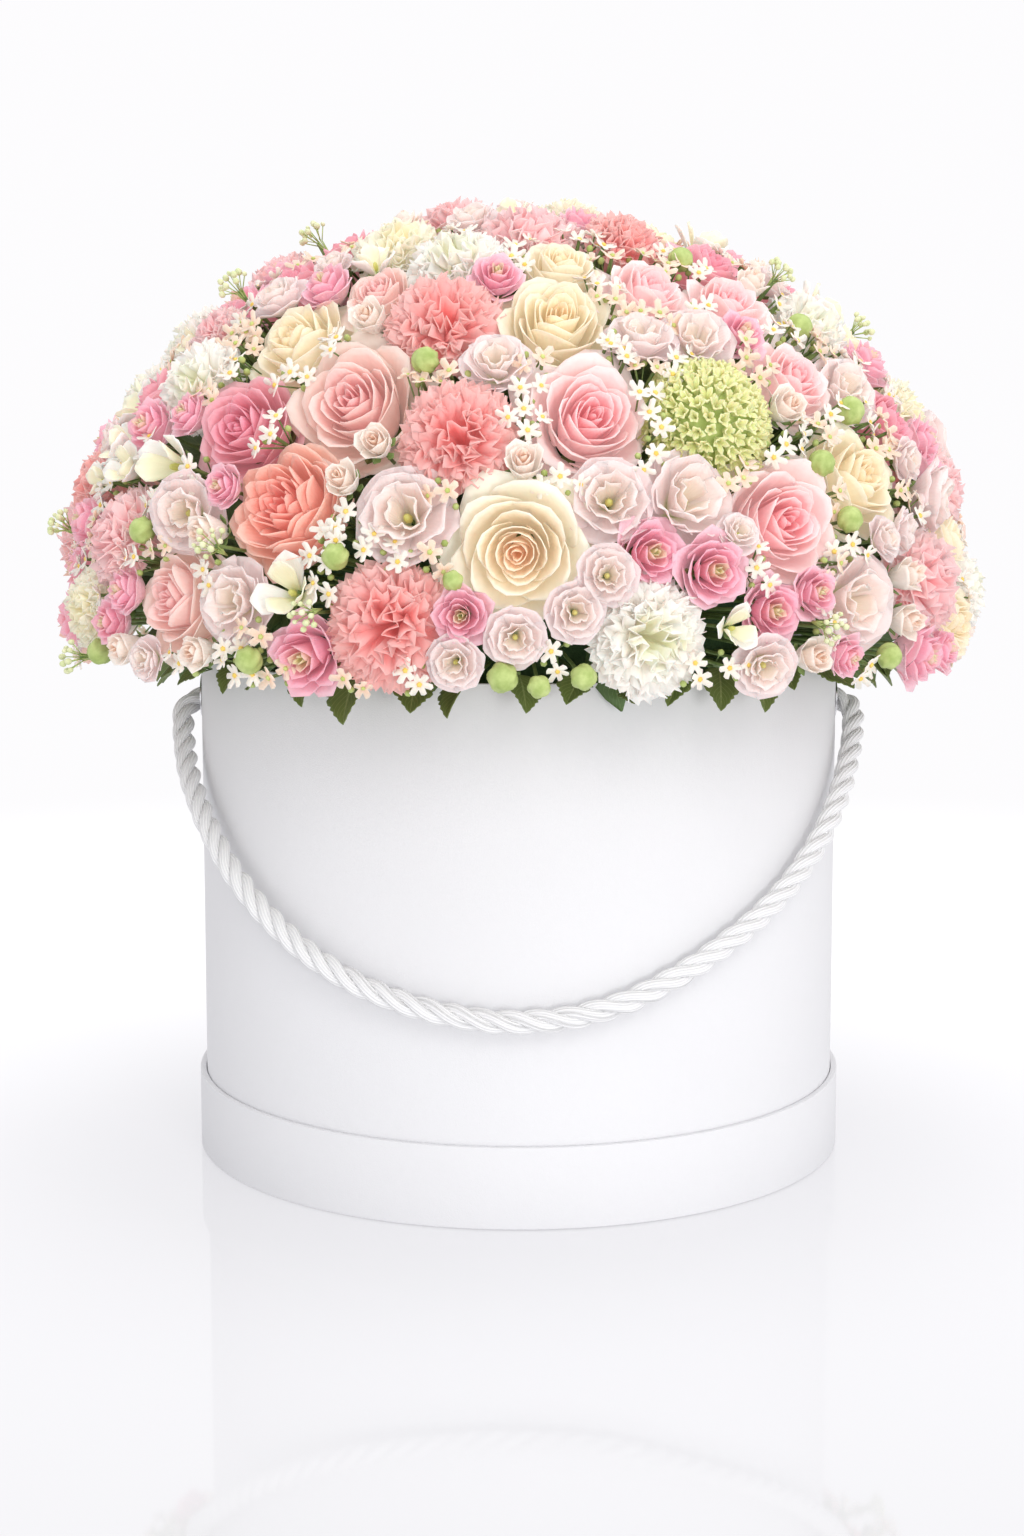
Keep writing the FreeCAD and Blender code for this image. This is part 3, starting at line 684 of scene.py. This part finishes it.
def bud_spray(name, seed, bud_finish, stem):
    """A fine branching sprig with tiny closed buds at its tips."""
    rng.seed(seed)
    parts = []
    for index in range(11):
        turn = index * GOLDEN_TURN
        out = 0.25 + 1.45 * math.sqrt((index + 0.5) / 11)
        high = 1.5 - 0.75 * out + 0.5 * rng.random()
        spot = Vector((out * math.cos(turn), out * math.sin(turn), high))
        fork = Vector((0.25 * spot.x, 0.25 * spot.y, -0.9 + 0.5 * rng.random()))
        width = 0.24 + 0.14 * rng.random()
        bud = button("tiny_bud", bud_finish, width, -width, 1.25 * width, rings=2, sides=7)
        bud.data.transform(Matrix.Translation(spot))
        parts += [bud, twig("stalk", stem, fork, spot, 0.055), twig("stalk", stem, (0, 0, -2.6), fork, 0.06)]
    return joined(parts, name)


def green_bud(name, finish):
    """A plump closed bud: five green petals twisted shut, each with two ribs."""
    bud = button(name, finish, 0.86, -0.80, 0.92, rings=8, sides=60)
    places = points_of(bud.data)
    angle = np.arctan2(places[:, 1], places[:, 0]) + 1.4 * places[:, 2]
    belly = np.clip(1 - places[:, 2] ** 2, 0, 1)
    fold = 1 + belly * (0.07 * np.cos(5 * angle) + 0.03 * np.cos(15 * angle))
    places[:, 0] *= fold
    places[:, 1] *= fold
    set_points(bud.data, places)
    return bud


def leaf(name, blank, finish, teeth, fold, droop, thickness=0.012, width=0.27):
    """A pointed leaf, one long, from the origin along +X, upper side up."""
    u, v = blank.across, blank.along
    outline = width * np.sin(np.pi * np.clip(v, 0, 1) ** 0.82) ** 0.85 + 0.012
    tooth = np.where(np.abs(u) > 0.99, teeth * ((v * 22) % 2 > 0.99), 0)
    half = outline * (1 + tooth)
    places = np.stack([
        v + 0.4 * tooth * outline * (v < 0.97), u * half,
        fold * np.abs(u) * outline - droop * v ** 2 + 0.02 * np.sin(9 * v) * np.abs(u),
    ], axis=1)
    blade = blank.bent(places, 0.5, 0.5)
    blade.name = name
    blade.data.materials.append(finish)
    apply_modifier(blade, "SOLIDIFY", thickness=thickness, offset=0.0)
    smooth(blade)
    return blade


# ---------------------------------------------------------------- where the frame has its flowers
def solids_of(node):
    """The separate solids in a CAD node, each as its vertex places."""
    mesh = frame["nodes"][node].data
    places = points_of(mesh)
    keys = np.round(places * 1e5).astype(np.int64)
    _, merged = np.unique(keys, axis=0, return_inverse=True)
    merged = merged.ravel()
    edges = np.empty(len(mesh.edges) * 2, np.int32)
    mesh.edges.foreach_get("vertices", edges)
    ends = merged[edges.reshape(-1, 2)]
    labels = np.arange(merged.max() + 1)
    while True:
        lower = np.minimum(labels[ends[:, 0]], labels[ends[:, 1]])
        fresh = labels.copy()
        np.minimum.at(fresh, ends[:, 0], lower)
        np.minimum.at(fresh, ends[:, 1], lower)
        fresh = fresh[fresh]
        if (fresh == labels).all():
            break
        labels = fresh
    owner = labels[merged]
    return [places[owner == label] for label in np.unique(owner)]


def heads_of(node):
    """Each flower head in a node: its middle, the way it faces and its half width."""
    heads = []
    for solid in solids_of(node):
        middle = Vector((solid.min(0) + solid.max(0)) / 2)
        outward = (middle - DOME_MIDDLE).normalized()
        offset = solid - np.array(middle)
        level = offset - np.outer(offset @ np.array(outward), np.array(outward))
        heads.append((middle, outward, float(np.linalg.norm(level, axis=1).max())))
    return sorted(heads, key=lambda head: (round(head[0].z, 4), round(head[0].x, 4)))


def planted(middle, outward, radius, tilt=0.0):
    """The placement of a unit flower on a head, turned and tilted at random."""
    way = (outward + Vector([tilt * rng.gauss(0, 1) for _ in range(3)])).normalized()
    facing = way.to_track_quat("Z", "Y").to_matrix().to_4x4()
    spin = Matrix.Rotation(rng.random() * 2 * math.pi, 4, "Z")
    return Matrix.Translation(middle) @ facing @ spin @ Matrix.Scale(radius, 4)


def plant(node, models, grow, tilt, sink=0.0):
    """Put a copy of one of the unit flowers on every head of a node, joined as one piece."""
    rng.seed(node)
    places = heads_of(node)
    flowers = []
    for index, (middle, outward, radius) in enumerate(places):
        flower = models[index % len(models)]
        size = radius * grow * (0.97 + 0.08 * rng.random())
        flowers.append(copy_of(flower, planted(middle - outward * sink, outward, size, tilt)))
    piece = joined(flowers, node + "_flowers")
    finish_piece(piece, "insert", [node])
    return piece


# ---------------------------------------------------------------- the flowers, one unit wide each way
def flower_greens():
    """The greens that sepals, buds and stems share."""
    return {
        "sepal": green_finish("sepal_green", (0.13, 0.22, 0.06), (0.28, 0.40, 0.13)),
        "lime": green_finish("bud_lime", (0.33, 0.44, 0.11), (0.56, 0.66, 0.25)),
        "stem": green_finish("stem_green", (0.10, 0.17, 0.05), (0.22, 0.32, 0.10)),
    }


def plant_roses(greens):
    """Large roses in five colours: a tight spiral heart inside loose reflexed petals."""
    colours = {
        "roses_pink": ((0.95, 0.32, 0.38), (0.99, 0.58, 0.62), (0.99, 0.83, 0.83)),
        "roses_peach": ((0.98, 0.62, 0.40), (0.99, 0.86, 0.66), (0.99, 0.96, 0.84)),
        "roses_cream": ((0.94, 0.70, 0.40), (0.93, 0.82, 0.60), (0.92, 0.86, 0.72)),
        "roses_mauve": ((0.76, 0.22, 0.33), (0.82, 0.32, 0.42), (0.86, 0.48, 0.54)),
        "roses_blush": ((0.88, 0.38, 0.42), (0.90, 0.54, 0.54), (0.92, 0.77, 0.71)),
    }
    for index, (node, (heart, body, rim)) in enumerate(colours.items()):
        finish = petal_finish(node + "_velvet", heart, body, rim)
        models = [rose(f"rose_{k}", finish, greens["sepal"], ROSE_RINGS, 10 * index + k) for k in range(2)]
        plant(node, models, 1.20, 0.10)
        discard(models)


def plant_small_roses(greens):
    """Garden roses, spray roses and rosebuds."""
    coral = petal_finish("garden_coral", (0.90, 0.28, 0.26), (0.92, 0.42, 0.36), (0.93, 0.62, 0.54))
    spray = petal_finish("spray_pink", (0.70, 0.66, 0.30), (0.90, 0.36, 0.50), (0.92, 0.56, 0.66))
    blush = petal_finish("rosebud_blush", (0.90, 0.62, 0.48), (0.92, 0.74, 0.66), (0.93, 0.86, 0.80))
    kinds = (
        ("garden_roses_coral", coral, GARDEN_RINGS, 1.18),
        ("spray_roses_pink", spray, SPRAY_RINGS, 1.34),
        ("rosebuds_blush", blush, BUD_RINGS, 1.40),
    )
    for node, finish, rings, grow in kinds:
        blank = "petal" if rings is GARDEN_RINGS else "small"
        models = [
            rose(f"small_rose_{k}", finish, greens["sepal"], rings, 60 + k, 0.06, blank) for k in range(2)
        ]
        plant(node, models, grow, 0.12)
        discard(models)


def plant_carnations(greens):
    """Carnations and the smaller cream pompons, all frills."""
    colours = {
        "carnations_coral": ((0.88, 0.28, 0.28), (0.91, 0.38, 0.38), (0.92, 0.48, 0.47), (0.94, 0.66, 0.63)),
        "carnations_pink": ((0.88, 0.38, 0.42), (0.92, 0.50, 0.53), (0.93, 0.62, 0.63), (0.95, 0.78, 0.78)),
        "carnations_white": ((0.78, 0.80, 0.50), (0.94, 0.91, 0.84), (0.95, 0.92, 0.90), (0.96, 0.95, 0.94)),
        "pompons_cream": ((0.86, 0.78, 0.42), (0.94, 0.88, 0.66), (0.94, 0.91, 0.77), (0.96, 0.94, 0.86)),
    }
    for index, (node, (heart, body, rim, edge)) in enumerate(colours.items()):
        finish = petal_finish(node + "_frill", heart, body, rim, edge=edge)
        models = [carnation(f"carnation_{k}", finish, greens["sepal"], 90 + 7 * index + k) for k in range(2)]
        plant(node, models, 1.20, 0.12)
        discard(models)


def plant_open_flowers(greens):
    """Wavy lilac-white stocks, white freesias and green snowballs."""
    eye = green_finish("heart_green", (0.55, 0.58, 0.12), (0.72, 0.70, 0.25))
    lilac = petal_finish("stock_lilac", (0.88, 0.76, 0.69), (0.86, 0.74, 0.73), (0.85, 0.72, 0.74),
                         root=(0.66, 0.70, 0.36))
    rings = [(3, 0.28, 0.46, 0.30), (4, 0.52, 0.50, 0.44), (5, 0.78, 0.32, 0.56), (5, 0.98, 0.02, 0.60)]
    models = [open_bloom(f"stock_{k}", lilac, greens["sepal"], eye, rings, 130 + k, 0.055) for k in range(3)]
    plant("stocks_lilac", models, 1.36, 0.16)
    discard(models)
    white = petal_finish("freesia_white", (0.90, 0.88, 0.66), (0.94, 0.93, 0.88), (0.95, 0.94, 0.92),
                         root=(0.60, 0.66, 0.24))
    rings = [(3, 0.62, 0.55, 0.34), (3, 0.90, 0.35, 0.42)]
    models = [open_bloom(f"freesia_{k}", white, greens["sepal"], eye, rings, 150 + k, 0.03) for k in range(2)]
    plant("freesias_white", models, 1.34, 0.20)
    discard(models)
    lime = petal_finish("snowball_green", (0.50, 0.60, 0.14), (0.64, 0.70, 0.24), (0.78, 0.80, 0.40),
                        root=(0.34, 0.46, 0.08), edge=(0.92, 0.88, 0.62))
    models = [ball_of_florets("snowball", lime, greens["lime"], 170, 170, 0.26, 0.125, lobes=5)]
    plant("snowballs_green", models, 1.10, 0.0)
    discard(models)


def plant_small_things(greens):
    """Waxflowers in clusters, round green buds and sprigs of tiny pale buds."""
    yellow = green_finish("eye_yellow", (0.86, 0.56, 0.08), (0.94, 0.74, 0.20))
    lime_eye = green_finish("eye_lime", (0.45, 0.55, 0.12), (0.66, 0.72, 0.26))
    white = petal_finish("waxflower_white", (0.90, 0.66, 0.50), (0.90, 0.80, 0.70), (0.91, 0.84, 0.78))
    peach = petal_finish("waxflower_peach", (0.90, 0.52, 0.38), (0.90, 0.62, 0.48), (0.91, 0.72, 0.60))
    plain = [star_floret(f"waxflower_{k}", white, yellow, seed=k) for k in range(3)]
    warm = [star_floret(f"peachflower_{k}", peach, lime_eye, lobes=5, seed=k) for k in range(2)]
    clusters = []
    for k, florets in enumerate((plain, warm, plain, plain, warm)):
        clusters.append(floret_cluster(f"cluster_{k}", florets, 180 + k, greens["lime"], greens["stem"]))
    plant("waxflowers", clusters, 1.06, 0.16, sink=0.004)
    discard(plain + warm + clusters)
    models = [green_bud("green_bud", greens["lime"])]
    plant("green_buds", models, 1.15, 0.1)
    discard(models)
    pale = green_finish("bud_cream", (0.62, 0.70, 0.34), (0.84, 0.84, 0.58))
    models = [bud_spray(f"spray_{k}", 210 + k, pale, greens["lime"]) for k in range(3)]
    plant("bud_sprigs", models, 1.0, 0.15)
    discard(models)


def discard(models):
    """Remove the unit flowers that the planted copies were made from."""
    for model in models:
        bpy.data.objects.remove(model)


# ---------------------------------------------------------------- leaves
def leaf_places(node):
    """The root, tip and flat side of each leaf in a node."""
    places = []
    for solid in solids_of(node):
        middle = solid.mean(0)
        ends = solid[np.argsort(np.linalg.norm(solid - middle, axis=1))[-8:]]
        inner = ends[np.argmin(np.linalg.norm(ends - np.array(DOME_MIDDLE), axis=1))]
        outer = ends[np.argmin((ends - middle) @ (inner - middle))]
        _, _, axes = np.linalg.svd(solid - middle, full_matrices=False)
        flat = axes[2]
        if flat @ (middle - np.array(DOME_MIDDLE)) < 0:
            flat = -flat
        places.append((Vector(inner), Vector(outer), Vector(flat)))
    return places


def laid(root, tip, upper):
    """The placement of a unit leaf that runs from root to tip with this side up."""
    along = (tip - root).normalized()
    across = upper.cross(along).normalized()
    top = along.cross(across)
    turn = Matrix((along, across, top)).transposed().to_4x4()
    return Matrix.Translation(root) @ turn @ Matrix.Scale((tip - root).length, 4)


def plant_rim_leaves():
    """Broad toothed leaves that hang over the rim."""
    fringe = leaf_finish("rim_leaf", (0.08, 0.125, 0.025), (0.17, 0.23, 0.055), (0.36, 0.42, 0.17))
    models = [
        leaf(f"rim_leaf_{k}", BLANKS["leaf"], fringe, 0.17, 0.25 + 0.1 * k, 0.10 + 0.10 * k, width=0.29)
        for k in range(3)
    ]
    rng.seed("rim")
    leaves = []
    for index, (root, tip, upper) in enumerate(leaf_places("rim_leaves")):
        reach = 0.74 + 0.30 * rng.random()
        swing = Matrix.Rotation(math.radians(26 * rng.gauss(0, 1)), 4, upper)
        roll = Matrix.Rotation(math.radians(18 * rng.gauss(0, 1)), 4, tip - root)
        place = laid(root, root + swing @ (tip - root) * reach, roll @ upper)
        leaves.append(copy_of(models[index % 3], place))
    rim = joined(leaves, "leaves_over_the_rim")
    finish_piece(rim, "insert", ["rim_leaves"])
    discard(models)


def plant_dark_leaves():
    """Dark leaves among the stems, three to a root."""
    dark = leaf_finish("dark_leaf", (0.05, 0.11, 0.03), (0.12, 0.20, 0.06), (0.22, 0.32, 0.12))
    models = [leaf("dark_leaf", BLANKS["plain_leaf"], dark, 0.05, 0.15, 0.12)]
    leaves = []
    for root, tip, upper in leaf_places("foliage"):
        for turn in (-48, 0, 46):
            swing = Matrix.Rotation(math.radians(turn), 4, upper)
            place = laid(root, root + swing @ ((tip - root) * (1.32 - 0.004 * abs(turn))), upper)
            leaves.append(copy_of(models[0], place))
    under = joined(leaves, "leaves_among_stems")
    finish_piece(under, "insert", ["foliage"])
    discard(models)


# ---------------------------------------------------------------- the box
PAPER = 0.4 * MM
BOARD = 2.5 * MM
FOLD = 0.5 * MM
BOX_RADIUS = 175 * MM
BOX_TOP = 274 * MM
BOX_TURN_IN = 14 * MM
LID_GAP = 0.8 * MM
LID_HEIGHT = 42 * MM
LID_TURN_IN = 10 * MM
HOLE_HEIGHT = 248 * MM
HOLE_RADIUS = 8.2 * MM
SEAM_LIFT = 0.18 * MM
SEAM_MARGIN = 0.6 * MM
SEAM_HALF_ANGLE = 0.045


def folded_paper(name, steps, bottom, segments=256):
    """Covering paper: a circle's edge pulled along (radius, height) steps, then given its thickness."""
    radius, height = steps[0]
    deselect()
    bpy.ops.mesh.primitive_circle_add(
        vertices=segments, radius=radius, fill_type="NGON" if bottom else "NOTHING", location=(0, 0, height)
    )
    paper = bpy.context.active_object
    paper.name = name
    bpy.ops.object.transform_apply(location=True)
    bpy.ops.object.mode_set(mode="EDIT")
    bpy.ops.mesh.select_mode(type="EDGE")
    bpy.ops.mesh.select_all(action="SELECT")
    if bottom:
        bpy.ops.mesh.region_to_loop()
    for wider, higher in steps[1:]:
        bpy.ops.mesh.extrude_edges_move(TRANSFORM_OT_translate={"value": (0, 0, higher - height)})
        share = wider / radius
        bpy.ops.transform.resize(value=(share, share, 1), center_override=(0, 0, higher))
        radius, height = wider, higher
    bpy.ops.mesh.select_all(action="SELECT")
    bpy.ops.mesh.normals_make_consistent(inside=False)
    bpy.ops.object.mode_set(mode="OBJECT")
    apply_modifier(
        paper, "BEVEL", width=FOLD, segments=3, limit_method="ANGLE", angle_limit=math.radians(50)
    )
    apply_modifier(paper, "SOLIDIFY", thickness=PAPER, offset=-1.0, use_even_offset=True)
    return paper


def through_hole(thing, place, radius, depth):
    """Cut a round hole along X through a piece, here on one side of the box."""
    deselect()
    bpy.ops.mesh.primitive_cylinder_add(
        vertices=48, radius=radius, depth=depth, location=place, rotation=(0, math.pi / 2, 0)
    )
    drill = bpy.context.active_object
    apply_modifier(thing, "BOOLEAN", operation="DIFFERENCE", object=drill, solver="EXACT")
    bpy.data.objects.remove(drill)


def paper_seam(name, radius, low, high, turn, finish):
    """The overlap where the covering paper closes: a thin strip with a soft edge."""
    deselect()
    bpy.ops.mesh.primitive_grid_add(x_subdivisions=12, y_subdivisions=2, size=2)
    strip = bpy.context.active_object
    places = points_of(strip.data)
    angle = math.radians(turn) + places[:, 0] * SEAM_HALF_ANGLE
    height = low + (places[:, 1] + 1) / 2 * (high - low)
    lift = radius + SEAM_LIFT * (1 - places[:, 0] ** 8)
    set_points(strip.data, np.stack([lift * np.cos(angle), lift * np.sin(angle), height], axis=1))
    apply_modifier(strip, "SOLIDIFY", thickness=PAPER / 2, offset=-1.0)
    strip.name = name
    strip.data.materials.append(finish)
    return strip


def paper_box():
    """White covering paper on the box and on the lid that it stands in."""
    white = paper_finish("white_paper", (0.80, 0.80, 0.815))
    rim = BOX_RADIUS + LID_GAP + BOARD + PAPER
    inner = rim - BOARD - 2 * PAPER
    lid = folded_paper(
        "lid_paper",
        [(rim, 0), (rim, LID_HEIGHT), (inner, LID_HEIGHT), (inner, LID_HEIGHT - LID_TURN_IN)],
        bottom=True,
    )
    lid.data.materials.append(white)
    seam = paper_seam("lid_seam", rim, SEAM_MARGIN, LID_HEIGHT - SEAM_MARGIN, 68, white)
    lid = joined([lid, seam], "lid_paper")
    smooth_by_angle(lid)
    finish_piece(lid, "lid", ["lid_wrap"])
    inner = BOX_RADIUS - BOARD - 2 * PAPER
    wrap = folded_paper(
        "box_paper",
        [
            (BOX_RADIUS, PAPER + BOARD), (BOX_RADIUS, BOX_TOP),
            (inner, BOX_TOP), (inner, BOX_TOP - BOX_TURN_IN),
        ],
        bottom=False,
    )
    wrap.data.materials.append(white)
    wall_middle = BOX_RADIUS - 1.5 * MM
    for side in (-1, 1):
        through_hole(wrap, (side * wall_middle, 0, HOLE_HEIGHT), HOLE_RADIUS, depth=12 * MM)
    seam = paper_seam("box_seam", BOX_RADIUS, LID_HEIGHT + 1.5 * MM, BOX_TOP - SEAM_MARGIN, 72, white)
    wrap = joined([wrap, seam], "box_paper")
    smooth_by_angle(wrap)
    finish_piece(wrap, "box", ["box_wrap"])


# ---------------------------------------------------------------- the rope
ROPE_DIAMETER = 12 * MM
ROPE_LAY = 42 * MM
KNOT_ROPE = 8.8 * MM
KNOT_LAY = 30 * MM
KNOT_SIZE = 7.8 * MM
KNOT_MIDDLE = 157.05 * MM
BEND_OUTSIDE = 186.5 * MM
SWAG_RADIUS = 185.3 * MM

# The rope's line in the frame: from the left knot round the front to the right knot. The first
# number is the angle round the box from the left hole, in degrees; the second is the height in mm.
ROPE_SWAG = [
    (8, 227), (17, 210), (28, 188), (39, 163), (51, 140.5), (63, 123), (76, 111.5), (89, 106.5),
    (102, 110.5), (114, 124), (126, 142), (137, 160), (148, 182), (158, 204.5), (169, 227),
]

# Three round strands that touch: their middles' and their own radius as shares of the rope's diameter.
STRAND_OFFSET = 0.264
STRAND_RADIUS = 0.246


def rope_line():
    """Close points along the rope, read from a smooth spline through its control points."""
    control = [(-KNOT_MIDDLE, 0, HOLE_HEIGHT), (-BEND_OUTSIDE, 0, HOLE_HEIGHT)]
    for turn, height in ROPE_SWAG:
        angle = math.radians(turn)
        control.append((-SWAG_RADIUS * math.cos(angle), -SWAG_RADIUS * math.sin(angle), height * MM))
    control += [(BEND_OUTSIDE, 0, HOLE_HEIGHT), (KNOT_MIDDLE, 0, HOLE_HEIGHT)]
    curve = bpy.data.curves.new("rope_line", "CURVE")
    curve.dimensions = "3D"
    curve.resolution_u = 40
    spline = curve.splines.new("NURBS")
    spline.points.add(len(control) - 1)
    for point, place in zip(spline.points, control):
        point.co = (*place, 1)
    spline.order_u = 3
    spline.use_endpoint_u = True
    guide = bpy.data.objects.new("rope_line", curve)
    bpy.context.scene.collection.objects.link(guide)
    line = points_of(bpy.data.meshes.new_from_object(guide))
    bpy.data.objects.remove(guide)
    return line


def distance_along(line):
    """How far along the line each of its points is."""
    runs = np.linalg.norm(np.diff(line, axis=0), axis=1)
    return np.concatenate([[0], np.cumsum(runs)])


def even_steps(line, step):
    """The same line as points one step apart."""
    along = distance_along(line)
    marks = np.linspace(0, along[-1], int(round(along[-1] / step)) + 1)
    return np.stack([np.interp(marks, along, line[:, k]) for k in range(3)], axis=1)


def carried_frames(line):
    """A side and an upper direction at each point, carried along the line without twisting."""
    ahead = unit(np.gradient(line, axis=0))
    sides = np.zeros_like(line)
    sides[0] = unit(np.cross(ahead[0], (0.0, 0.0, 1.0)))
    for i in range(1, len(line)):
        kept = sides[i - 1] - ahead[i] * (sides[i - 1] @ ahead[i])
        sides[i] = unit(kept)
    return sides, np.cross(ahead, sides)


def twisted_rope(name, line, diameter, pitch, finish, strands=3, sides=18):
    """A rope of twisted strands laid along the line, each strand a closed tube."""
    side, upper = carried_frames(line)
    along = distance_along(line)
    ring = np.arange(sides) * 2 * math.pi / sides
    vertices, faces, values = [], [], []
    for k in range(strands):
        turn = 2 * math.pi * (along / pitch + k / strands)
        middle = line + STRAND_OFFSET * diameter * (
            np.cos(turn)[:, None] * side + np.sin(turn)[:, None] * upper
        )
        lean, rise = carried_frames(middle)
        wobble = 1 + 0.03 * np.sin(along / 0.0031 + 2 * k)
        radius = (STRAND_RADIUS * diameter * wobble)[:, None, None]
        tube = middle[:, None] + radius * (
            np.cos(ring)[None, :, None] * lean[:, None] + np.sin(ring)[None, :, None] * rise[:, None]
        )
        first = k * len(along) * sides
        vertices.append(tube.reshape(-1, 3))
        colour = np.ones((len(along), sides, 4), np.float32)
        colour[:, :, 0] = (along / 0.012)[:, None]
        colour[:, :, 1] = (ring / (2 * math.pi))[None]
        values.append(colour.reshape(-1, 4))
        rows = np.arange(len(along) - 1)[:, None] * sides
        column = np.arange(sides)[None]
        beside = (column + 1) % sides
        quads = np.stack([rows + column, rows + beside, rows + sides + beside, rows + sides + column], -1)
        faces += (quads.reshape(-1, 4) + first).tolist()
        last = first + (len(along) - 1) * sides
        faces.append(list(range(first + sides - 1, first - 1, -1)))
        faces.append(list(range(last, last + sides)))
    mesh = bpy.data.meshes.new(name)
    mesh.from_pydata(np.concatenate(vertices).tolist(), [], faces)
    yarn = mesh.attributes.new("yarn", "FLOAT_COLOR", "POINT")
    yarn.data.foreach_set("color", np.concatenate(values).ravel())
    rope = bpy.data.objects.new(name, mesh)
    bpy.context.scene.collection.objects.link(rope)
    mesh.materials.append(finish)
    smooth(rope)
    return rope


def knot_line(middle, inward, size):
    """A line that winds into an overhand knot round a point, its axis along `inward`."""
    t = np.linspace(0, 2 * math.pi, 140)
    x = size * 0.36 * (np.sin(t) + 2 * np.sin(2 * t))
    y = size * 0.36 * (np.cos(t) - 2 * np.cos(2 * t))
    z = size * 0.42 * -np.sin(3 * t)
    side = np.array([0.0, 1.0, 0.0])
    up = np.array([0.0, 0.0, 1.0])
    return np.array(middle) + x[:, None] * up + y[:, None] * side + z[:, None] * np.array(inward)


def tie_rope():
    """The rope handle, and the knots that hold it inside the box."""
    yarn = yarn_finish("white_yarn")
    line = even_steps(rope_line(), 1.1 * MM)
    rope = twisted_rope("rope_swag", line, ROPE_DIAMETER, ROPE_LAY, yarn)
    finish_piece(rope, "handle", ["rope_handle"])
    for side, node in ((-1, "rope_knot_left"), (1, "rope_knot_right")):
        middle = (side * KNOT_MIDDLE, 0, HOLE_HEIGHT)
        inward = (-side, 0.0, 0.0)
        loops = even_steps(knot_line(middle, inward, KNOT_SIZE), 1.6 * MM)
        knot = twisted_rope("knot_" + ("left" if side < 0 else "right"), loops, KNOT_ROPE, KNOT_LAY, yarn)
        finish_piece(knot, "handle", [node])


# ---------------------------------------------------------------- parts that keep their CAD shape
def paint_frame(greens):
    """Materials for the nodes that are shown as they are."""
    board = plain_finish("greyboard", (0.44, 0.42, 0.39), (0.56, 0.54, 0.50), 300, 0.8)
    metal = plain_finish("eyelet_metal", (0.72, 0.72, 0.74), (0.80, 0.80, 0.82), 40, 0.25, 0.05, 1.0)
    film = plain_finish("liner_plastic", (0.70, 0.72, 0.72), (0.78, 0.80, 0.80), 30, 0.3, 0.05)
    foam = plain_finish("wet_foam", (0.05, 0.12, 0.05), (0.09, 0.19, 0.08), 900, 0.9, 0.6)
    slots = {
        board: ("lid_disc", "lid_rim", "box_wall", "box_base"),
        metal: ("eyelet_left", "eyelet_right"),
        film: ("liner",),
        foam: ("foam_base", "foam_dome"),
        greens["stem"]: [node for node in frame["nodes"] if node.startswith("stems_")],
    }
    for finish, nodes in slots.items():
        for node in nodes:
            thing = frame["nodes"][node]
            thing.data.materials.clear()
            thing.data.materials.append(finish)


def fade_out(finish, start, end):
    """A value that goes from 0 at the start distance from the middle to 1 at the end distance."""
    place = finish.nodes.new("ShaderNodeNewGeometry")
    reach = finish.nodes.new("ShaderNodeVectorMath")
    reach.operation = "LENGTH"
    finish.links.new(place.outputs["Position"], reach.inputs[0])
    fade = finish.nodes.new("ShaderNodeMapRange")
    fade.interpolation_type = "SMOOTHSTEP"
    fade.inputs["From Min"].default_value = start
    fade.inputs["From Max"].default_value = end
    finish.links.new(reach.outputs["Value"], fade.inputs["Value"])
    return fade.outputs["Result"]


def floor():
    """A glossy white table: lit by itself away from the box, and lost in the backdrop further off."""
    finish = Finish("white_table", roughness=0.04)
    glow = fade_out(finish, -0.35, 0.75)
    finish.colour(finish.mix(glow, (0.74, 0.74, 0.765), (0, 0, 0)))
    finish.shader.inputs["Emission Color"].default_value = (0.815, 0.81, 0.83, 1)
    finish.links.new(glow, finish.shader.inputs["Emission Strength"])
    backdrop = finish.add("ShaderNodeEmission", Color=(0.982, 0.975, 0.988, 1))
    blend = finish.nodes.new("ShaderNodeMixShader")
    finish.links.new(fade_out(finish, 0.55, 1.3), blend.inputs[0])
    finish.links.new(finish.shader.outputs[0], blend.inputs[1])
    finish.links.new(backdrop.outputs[0], blend.inputs[2])
    finish.links.new(blend.outputs[0], finish.nodes["Material Output"].inputs["Surface"])
    deselect()
    bpy.ops.mesh.primitive_plane_add(size=60, location=(0, 0, -0.0005))
    table = bpy.context.active_object
    table.name = "white_table"
    table.data.materials.append(finish.material)


# ---------------------------------------------------------------- everything in turn
camera()
studio()
floor()
BLANKS = {
    "petal": Blank("petal_blank", 6, 7),
    "frill": Blank("frill_blank", 12, 3),
    "ruffle": Blank("ruffle_blank", 6, 5),
    "small": Blank("small_blank", 4, 5),
    "tiny": Blank("tiny_blank", 3, 3),
    "leaf": Blank("leaf_blank", 12, 22),
    "plain_leaf": Blank("plain_leaf_blank", 2, 6),
}
greens = flower_greens()
paper_box()
tie_rope()
plant_roses(greens)
plant_small_roses(greens)
plant_carnations(greens)
plant_open_flowers(greens)
plant_small_things(greens)
plant_rim_leaves()
plant_dark_leaves()
paint_frame(greens)
discard([blank.thing for blank in BLANKS.values()])
